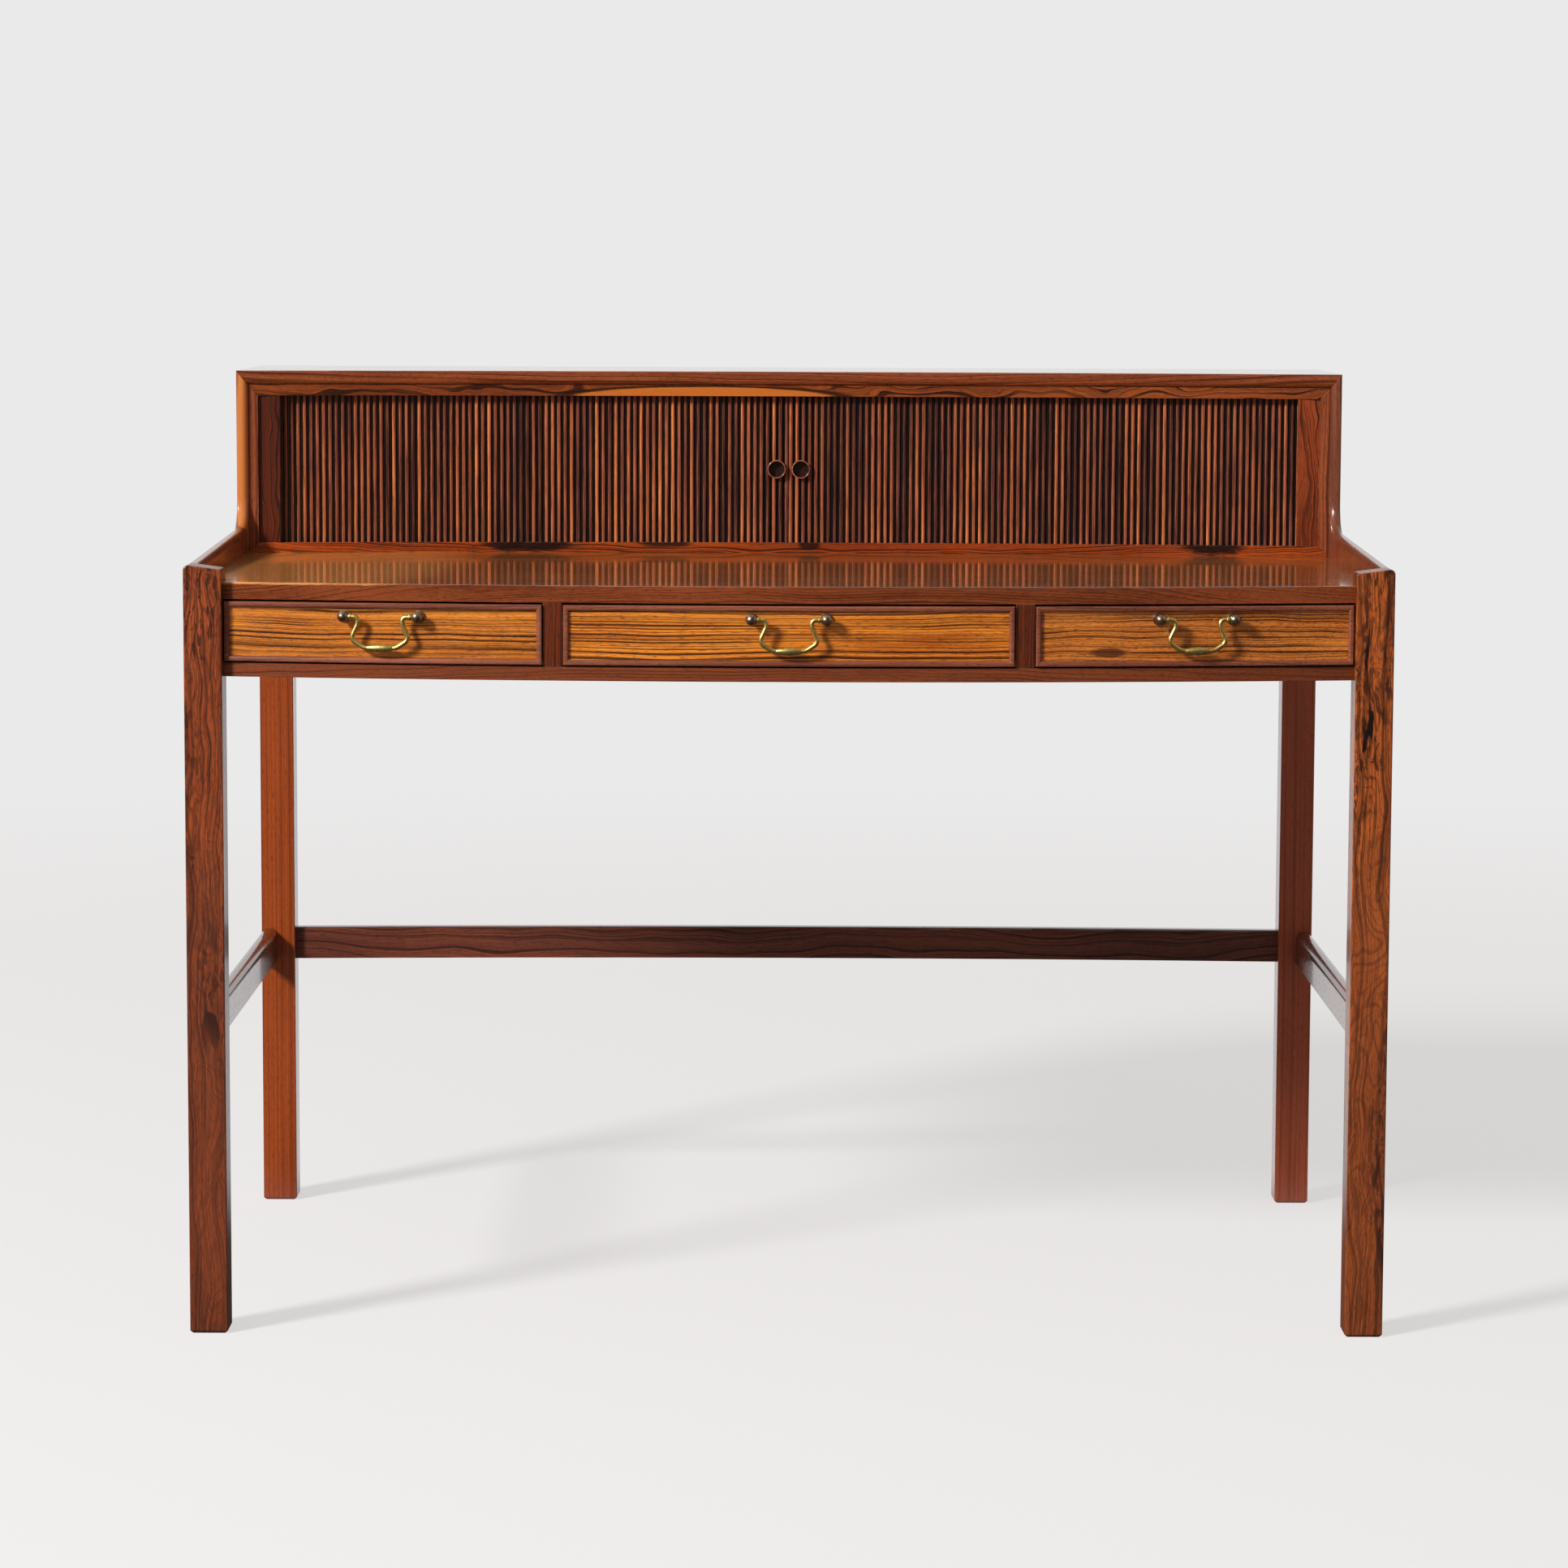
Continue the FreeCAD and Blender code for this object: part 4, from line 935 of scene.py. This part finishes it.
@dataclass
class TambourDoor:
    """One door: the lead piece with its pull, and the curtain of reeds on canvas.

    The reeds stand along a circle about a point in front of the desk; lengths are in metres.
    """

    hand: str
    sign: int
    centre_y: float = -4.92507
    back_radius: float = 5.11647
    lead_edge: float = 0.00030
    lead_end: float = 0.02653478
    pitch: float = 0.00693851
    reeds: int = 77
    gap: float = 0.0007
    base: float = 0.0015
    bead: float = 0.0030
    bead_width: float = 0.0039
    crown: float = 0.0016
    crown_steps: int = 4
    canvas_gap: float = 0.00005
    canvas_thickness: float = 0.0006
    packed_share: float = 0.0155
    packed_fill: float = 0.8
    play: float = 0.00042
    smooth_degrees: float = 40.0

    def build(self) -> None:
        """Models the curtain run by run and ties each run to the door."""
        low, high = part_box(f"slats_{self.hand}")
        height = (low.z, high.z)
        reed = self.model_reed(height)
        wood = self.dress_lead()
        runs = self.runs()
        for number, (first, last) in enumerate(runs, start=1):
            run = self.model_run(reed, height, first, last)
            run.name = f"curtain_{self.hand}_{number}"
            self.dress_run(run, wood)
            self.fold(run, first, last)
        bpy.data.objects.remove(reed)
        LOG.info("The %s curtain has %d reeds in %d runs", self.hand, self.reeds, len(runs))

    def runs(self) -> list[tuple[int, int]]:
        """Splits the reeds into runs so short that each, folded, would stay inside the groove.

        Returns:
            The first reed of each run and the reed after its last.
        """
        found: list[tuple[int, int]] = []
        first = 0
        for last in range(1, self.reeds + 1):
            if last == self.reeds or self.stray(first, last + 1) > self.play:
                found.append((first, last))
                first = last
        return found

    def stray(self, first: int, last: int) -> float:
        """How far a folded run strays from the curve.

        Args:
            first: Its first reed.
            last: The reed after its last.

        Returns:
            The distance.
        """
        near, far = self.pitch * first, self.pitch * last
        bulge = near * far * (far - near) / (near + far) if first else far * far / 4
        return bulge / (2 * self.back_radius)

    def model_run(self, reed: Object, height: Span, first: int, last: int) -> Object:
        """One run: its reeds, joined to their strip of canvas.

        Args:
            reed: The reed at the middle.
            height: Lower and upper end.
            first: Its first reed.
            last: The reed after its last.

        Returns:
            The run.
        """
        copies = [self.copy_reed(reed, number) for number in range(first, last)]
        canvas = self.model_canvas(height, first, last)
        bpy.ops.object.select_all(action="DESELECT")
        for piece in [*copies, canvas]:
            piece.select_set(True)
        bpy.context.view_layer.objects.active = copies[0]
        bpy.ops.object.join()
        bpy.ops.object.shade_smooth_by_angle(angle=math.radians(self.smooth_degrees))
        return copies[0]

    def model_reed(self, height: Span) -> Object:
        """One slat at the middle of the desk: a flat base with a round-topped reed on it.

        Args:
            height: Lower and upper end.

        Returns:
            The slat.
        """
        width = self.pitch - self.gap
        y = self.centre_y + self.back_radius - self.base / 2
        bpy.ops.object.select_all(action="DESELECT")
        bpy.ops.mesh.primitive_cube_add(size=1.0, location=(0.0, y, sum(height) / 2))
        reed = bpy.context.active_object
        reed.scale = (width, self.base, height[1] - height[0])
        bpy.ops.object.transform_apply(location=True, rotation=True, scale=True)
        bpy.ops.object.mode_set(mode="EDIT")
        bpy.ops.mesh.select_mode(type="FACE")
        bpy.ops.mesh.select_all(action="DESELECT")
        mesh = bmesh.from_edit_mesh(reed.data)
        for face in mesh.faces:
            face.select_set(face.normal.y < -0.9)
        bmesh.update_edit_mesh(reed.data)
        bpy.ops.mesh.inset(thickness=(width - self.bead_width) / 2, depth=0.0)
        bpy.ops.mesh.extrude_region_move(TRANSFORM_OT_translate={"value": (0.0, -self.bead, 0.0)})
        bpy.ops.mesh.select_mode(type="EDGE")
        bpy.ops.mesh.select_all(action="DESELECT")
        mesh = bmesh.from_edit_mesh(reed.data)
        for edge in mesh.edges:
            ends = [vertex.co for vertex in edge.verts]
            upright = abs(ends[0].z - ends[1].z) > self.bead
            edge.select_set(upright and all(end.y < y - self.bead for end in ends))
        bmesh.update_edit_mesh(reed.data)
        bpy.ops.mesh.bevel(offset=self.crown, segments=self.crown_steps, affect="EDGES")
        bpy.ops.object.mode_set(mode="OBJECT")
        return reed

    def copy_reed(self, reed: Object, number: int) -> Object:
        """Copies the reed to its place on the curve.

        Args:
            reed: The reed at the middle.
            number: Its place, counted from the lead piece.

        Returns:
            The copy, with a mesh of its own.
        """
        away = self.lead_end + self.pitch * (number + 0.5)
        piece = reed.copy()
        piece.data = reed.data.copy()
        piece.data.transform(self.turn(away))
        bpy.context.collection.objects.link(piece)
        return piece

    def turn(self, away: float) -> Matrix:
        """Turn about the curve's centre.

        Args:
            away: Length along the curve from the meeting line.

        Returns:
            The turn as a matrix.
        """
        centre = Matrix.Translation((0.0, self.centre_y, 0.0))
        angle = -self.sign * away / self.back_radius
        return centre @ Matrix.Rotation(angle, 4, "Z") @ centre.inverted()

    def model_canvas(self, height: Span, first: int, last: int) -> Object:
        """The cloth behind a run: a narrow strip spun along the curve and given its thickness.

        Args:
            height: Lower and upper end.
            first: The run's first reed.
            last: The reed after its last.

        Returns:
            The canvas.
        """
        radius = self.back_radius + self.canvas_gap + self.canvas_thickness / 2
        start = self.lead_end + self.pitch * first
        length = self.pitch * (last - first) - self.canvas_gap
        bpy.ops.object.select_all(action="DESELECT")
        place = (0.0, self.centre_y + radius, sum(height) / 2)
        bpy.ops.mesh.primitive_plane_add(size=1.0, location=place, rotation=(math.pi / 2, 0.0, 0.0))
        cloth = bpy.context.active_object
        cloth.scale = (self.gap, height[1] - height[0], 1.0)
        bpy.ops.object.transform_apply(location=True, rotation=True, scale=True)
        cloth.data.transform(self.turn(start + self.gap / 2))
        bpy.ops.object.mode_set(mode="EDIT")
        bpy.ops.mesh.select_mode(type="EDGE")
        bpy.ops.mesh.select_all(action="DESELECT")
        mesh = bmesh.from_edit_mesh(cloth.data)
        outer = max(vertex.co.x * self.sign for vertex in mesh.verts)
        inner = outer - self.gap / 2
        for edge in mesh.edges:
            edge.select_set(all(vertex.co.x * self.sign > inner for vertex in edge.verts))
        bmesh.update_edit_mesh(cloth.data)
        bpy.ops.mesh.spin(
            steps=last - first,
            angle=self.sign * (length - self.gap) / self.back_radius,
            center=(0.0, self.centre_y, 0.0),
            axis=(0.0, 0.0, 1.0),
        )
        bpy.ops.mesh.select_all(action="SELECT")
        bpy.ops.mesh.normals_make_consistent(inside=False)
        bpy.ops.object.mode_set(mode="OBJECT")
        wall = cloth.modifiers.new("thickness", "SOLIDIFY")
        wall.thickness = self.canvas_thickness
        wall.offset = 0.0
        bpy.ops.object.modifier_apply(modifier=wall.name)
        return cloth

    def dress_lead(self) -> Material:
        """Gives the lead piece and the pull their finishes.

        Returns:
            The wood of the reeds.
        """
        crest = self.back_radius - self.base - self.bead
        start = self.lead_edge - (self.pitch - self.bead_width) / 2
        name = f"reed_wood_{self.hand}"
        wood = ReedFinish(name, REED_TONES, self.centre_y, crest, self.bead, start, self.pitch)
        paint(wood, f"lead_{self.hand}")
        paint(PULL, f"pull_{self.hand}")
        return bpy.data.materials[wood.name]

    def dress_run(self, run: Object, wood: Material) -> None:
        """Gives a run its wood in front and its canvas behind.

        Args:
            run: The run.
            wood: The wood of the reeds.
        """
        run.data.materials.clear()
        run.data.materials.append(wood)
        run.data.materials.append(bpy.data.materials.get(CANVAS.name) or CANVAS.material())
        deep = self.back_radius + self.canvas_gap / 2
        for face in run.data.polygons:
            cloth = math.hypot(face.center.x, face.center.y - self.centre_y) > deep
            face.material_index = 1 if cloth else 0

    def fold(self, run: Object, first: int, last: int) -> None:
        """Ties a run to the door and hides the CAD curtain; where it would fold is worked out but
        not used.

        Args:
            run: The run.
            first: Its first reed.
            last: The reed after its last.
        """
        near, far = self.pitch * first, self.pitch * last
        middle = (near + far) / 2
        packed = self.packed_share * middle
        keep = self.packed_share * self.packed_fill
        foot = self.point(packed)
        axis = self.point((near * near + far * far) / (near + far)) - foot
        back = packed - (packed - keep * middle) / (1 - keep)
        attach(run, f"door_{self.hand}")
        foot - axis.normalized() * back
        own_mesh(run)
        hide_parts(f"slats_{self.hand}", f"canvas_{self.hand}")

    def point(self, away: float) -> Vector:
        """A point on the backs of the slats.

        Args:
            away: Length along the curve from the lead piece.

        Returns:
            The point, at the height of the floor.
        """
        front = Vector((0.0, self.centre_y + self.back_radius, 0.0))
        return self.turn(self.lead_end + away) @ front


@dataclass
class Drawer:
    """One drawer with its bead, box and handle."""

    name: str
    veneer: WoodFinish

    def dress(self) -> None:
        """Gives front, bead, box and handle their finishes."""
        paint(self.veneer, f"{self.name}_front")
        paint(BEAD, f"{self.name}_bead")
        boards = ("side_left", "side_right", "bottom", "back")
        paint(BOX_WOOD, *(f"{self.name}_{board}" for board in boards))
        paint(BRONZE, f"{self.name}_studs")
        paint(BRASS, f"{self.name}_bail")


# Studio


@dataclass
class Studio:
    """Floor, light and camera.

    The camera's place and angles were worked out from the photograph; lengths are in metres.
    """

    eye: Point = (-0.00829, -5.02984, 1.07710)
    pitch: float = 0.11009
    yaw: float = 0.00084
    roll: float = -0.00379
    lens: float = 109.006
    floor_size: float = 120.0
    key_place: Point = (-6.8, -6.2, 5.8)
    key_size: float = 2.0
    key_power: float = 1560.0
    near_floor: Colour = shade(236, 234, 233)
    backdrop: Colour = shade(235, 234, 234)
    bounce: Colour = (0.40, 0.39, 0.38)
    room: Colour = (0.05, 0.05, 0.05)
    floor_fade: Span = (1.6, 5.0)
    front_fade: Span = (0.1, 0.6)
    near_glow: float = 0.74
    fill: float = 0.12
    fill_above: float = 0.16
    fill_front: float = 0.36
    mirror: float = 0.06
    mirror_above: float = 0.3
    mirror_back: float = 0.9
    mirror_aside: float = 0.4
    key_target: Point = (0.0, 0.0, 0.55)
    sensor: float = 36.0

    def build(self) -> None:
        """Sets up everything round the desk."""
        bpy.context.scene.view_settings.view_transform = "Standard"
        self.lay_floor()
        self.light_world()
        self.add_key()
        self.add_camera()

    def lay_floor(self) -> None:
        """Pale floor that fades into the backdrop and keeps the desk's shadow."""
        bpy.ops.object.select_all(action="DESELECT")
        bpy.ops.mesh.primitive_plane_add(size=self.floor_size, location=(0.0, 0.0, 0.0))
        floor = bpy.context.active_object
        floor.name = "studio_floor"
        material, graph = Graph.of_material("studio_floor")
        x, y, _ = graph.place()
        away = x.sum_of("SQRT", x * x + y * y, 0.0)
        far = graph.step(away, *self.floor_fade)
        seen, mirrored, cleared, scattered = graph.rays(
            "Camera", "Glossy", "Transmission", "Diffuse"
        )
        grain = graph.noise((x * 2.0, y * 2.0, 0.0), 2.0)
        paper = graph.mix(grain * 0.1, self.near_floor, self.backdrop)
        matt = graph.mix(scattered, paper, self.bounce)
        lit = graph.add("ShaderNodeBsdfDiffuse", None, {"Color": matt})
        pale = graph.mix(far, self.near_floor, self.backdrop)
        ahead = 1.0 - graph.step(y, *self.front_fade)
        light = graph.mix(mirrored * ahead, pale, self.room)
        glow = graph.add("ShaderNodeEmission", None, {"Color": light})
        shown = seen.sum_of("MINIMUM", seen + mirrored + cleared, 1.0)
        share = shown * (far * (1.0 - self.near_glow) + self.near_glow)
        share = share.sum_of("MAXIMUM", share, mirrored)
        graph.add_end(graph.add("ShaderNodeMixShader", None, {0: share, 1: lit, 2: glow}))
        floor.data.materials.append(material)

    def light_world(self) -> None:
        """Soft fill from above, a pale backdrop behind the desk and a dark room before it."""
        world = bpy.data.worlds.new("studio")
        bpy.context.scene.world = world
        world.use_nodes = True
        graph = Graph(world.node_tree)
        aside, back, up = graph.split(graph.add("ShaderNodeTexCoord", output="Generated"))
        seen, mirrored = graph.rays("Camera", "Glossy")
        fill = graph.step(up, -0.1, 1.0) * self.fill_above
        fill = fill + (1.0 - graph.step(back, -1.0, 0.2)) * self.fill_front + self.fill
        mirror = graph.step(back, -0.1, 0.5) * self.mirror_back
        mirror = mirror + graph.step(up, 0.3, 1.0) * self.mirror_above + self.mirror
        mirror = mirror + graph.step(aside * aside, 0.2, 0.9) * self.mirror_aside
        strength = fill * (1.0 - mirrored) + mirror.sum_of("MINIMUM", mirror, 1.0) * mirrored
        strength = strength * (1.0 - seen) + seen
        inputs = {"Color": self.backdrop, "Strength": strength}
        glow = graph.add("ShaderNodeBackground", None, inputs)
        end = world.node_tree.nodes.new("ShaderNodeOutputWorld")
        world.node_tree.links.new(glow.socket, end.inputs["Surface"])

    def add_key(self) -> None:
        """Soft lamp at the upper left in front."""
        lamp = bpy.data.lights.new("key", "AREA")
        lamp.shape = "DISK"
        lamp.size = self.key_size
        lamp.energy = self.key_power
        key = bpy.data.objects.new("key", lamp)
        bpy.context.collection.objects.link(key)
        key.location = self.key_place
        towards = Vector(self.key_target) - Vector(self.key_place)
        key.rotation_euler = towards.to_track_quat("-Z", "Y").to_euler()

    def add_camera(self) -> None:
        """Camera at the photograph's place."""
        ahead = Vector((
            math.sin(self.yaw) * math.cos(self.pitch),
            math.cos(self.yaw) * math.cos(self.pitch),
            -math.sin(self.pitch),
        ))
        right = Vector((math.cos(self.yaw), -math.sin(self.yaw), 0.0))
        down = ahead.cross(right)
        side = right * math.cos(self.roll) + down * math.sin(self.roll)
        low = down * math.cos(self.roll) - right * math.sin(self.roll)
        data = bpy.data.cameras.new("camera")
        data.lens = self.lens
        data.sensor_width = self.sensor
        data.sensor_fit = "HORIZONTAL"
        camera = bpy.data.objects.new("camera", data)
        bpy.context.collection.objects.link(camera)
        turn = Matrix((side, -low, -ahead)).transposed().to_4x4()
        camera.matrix_world = Matrix.Translation(self.eye) @ turn
        bpy.context.scene.camera = camera


def main() -> None:
    """Dresses the desk piece by piece, then sets up the studio."""
    logging.basicConfig(level=logging.INFO, format="%(message)s")
    Underframe().dress()
    Carcass().dress()
    TambourCase().dress()
    for hand, sign in (("left", -1), ("right", 1)):
        TambourDoor(hand, sign).build()
    for name, veneer in (("left", DRAWER_LEFT), ("centre", DRAWER_CENTRE), ("right", DRAWER_RIGHT)):
        Drawer(f"drawer_{name}", veneer).dress()
    Studio().build()


if __name__ == "__main__":
    main()
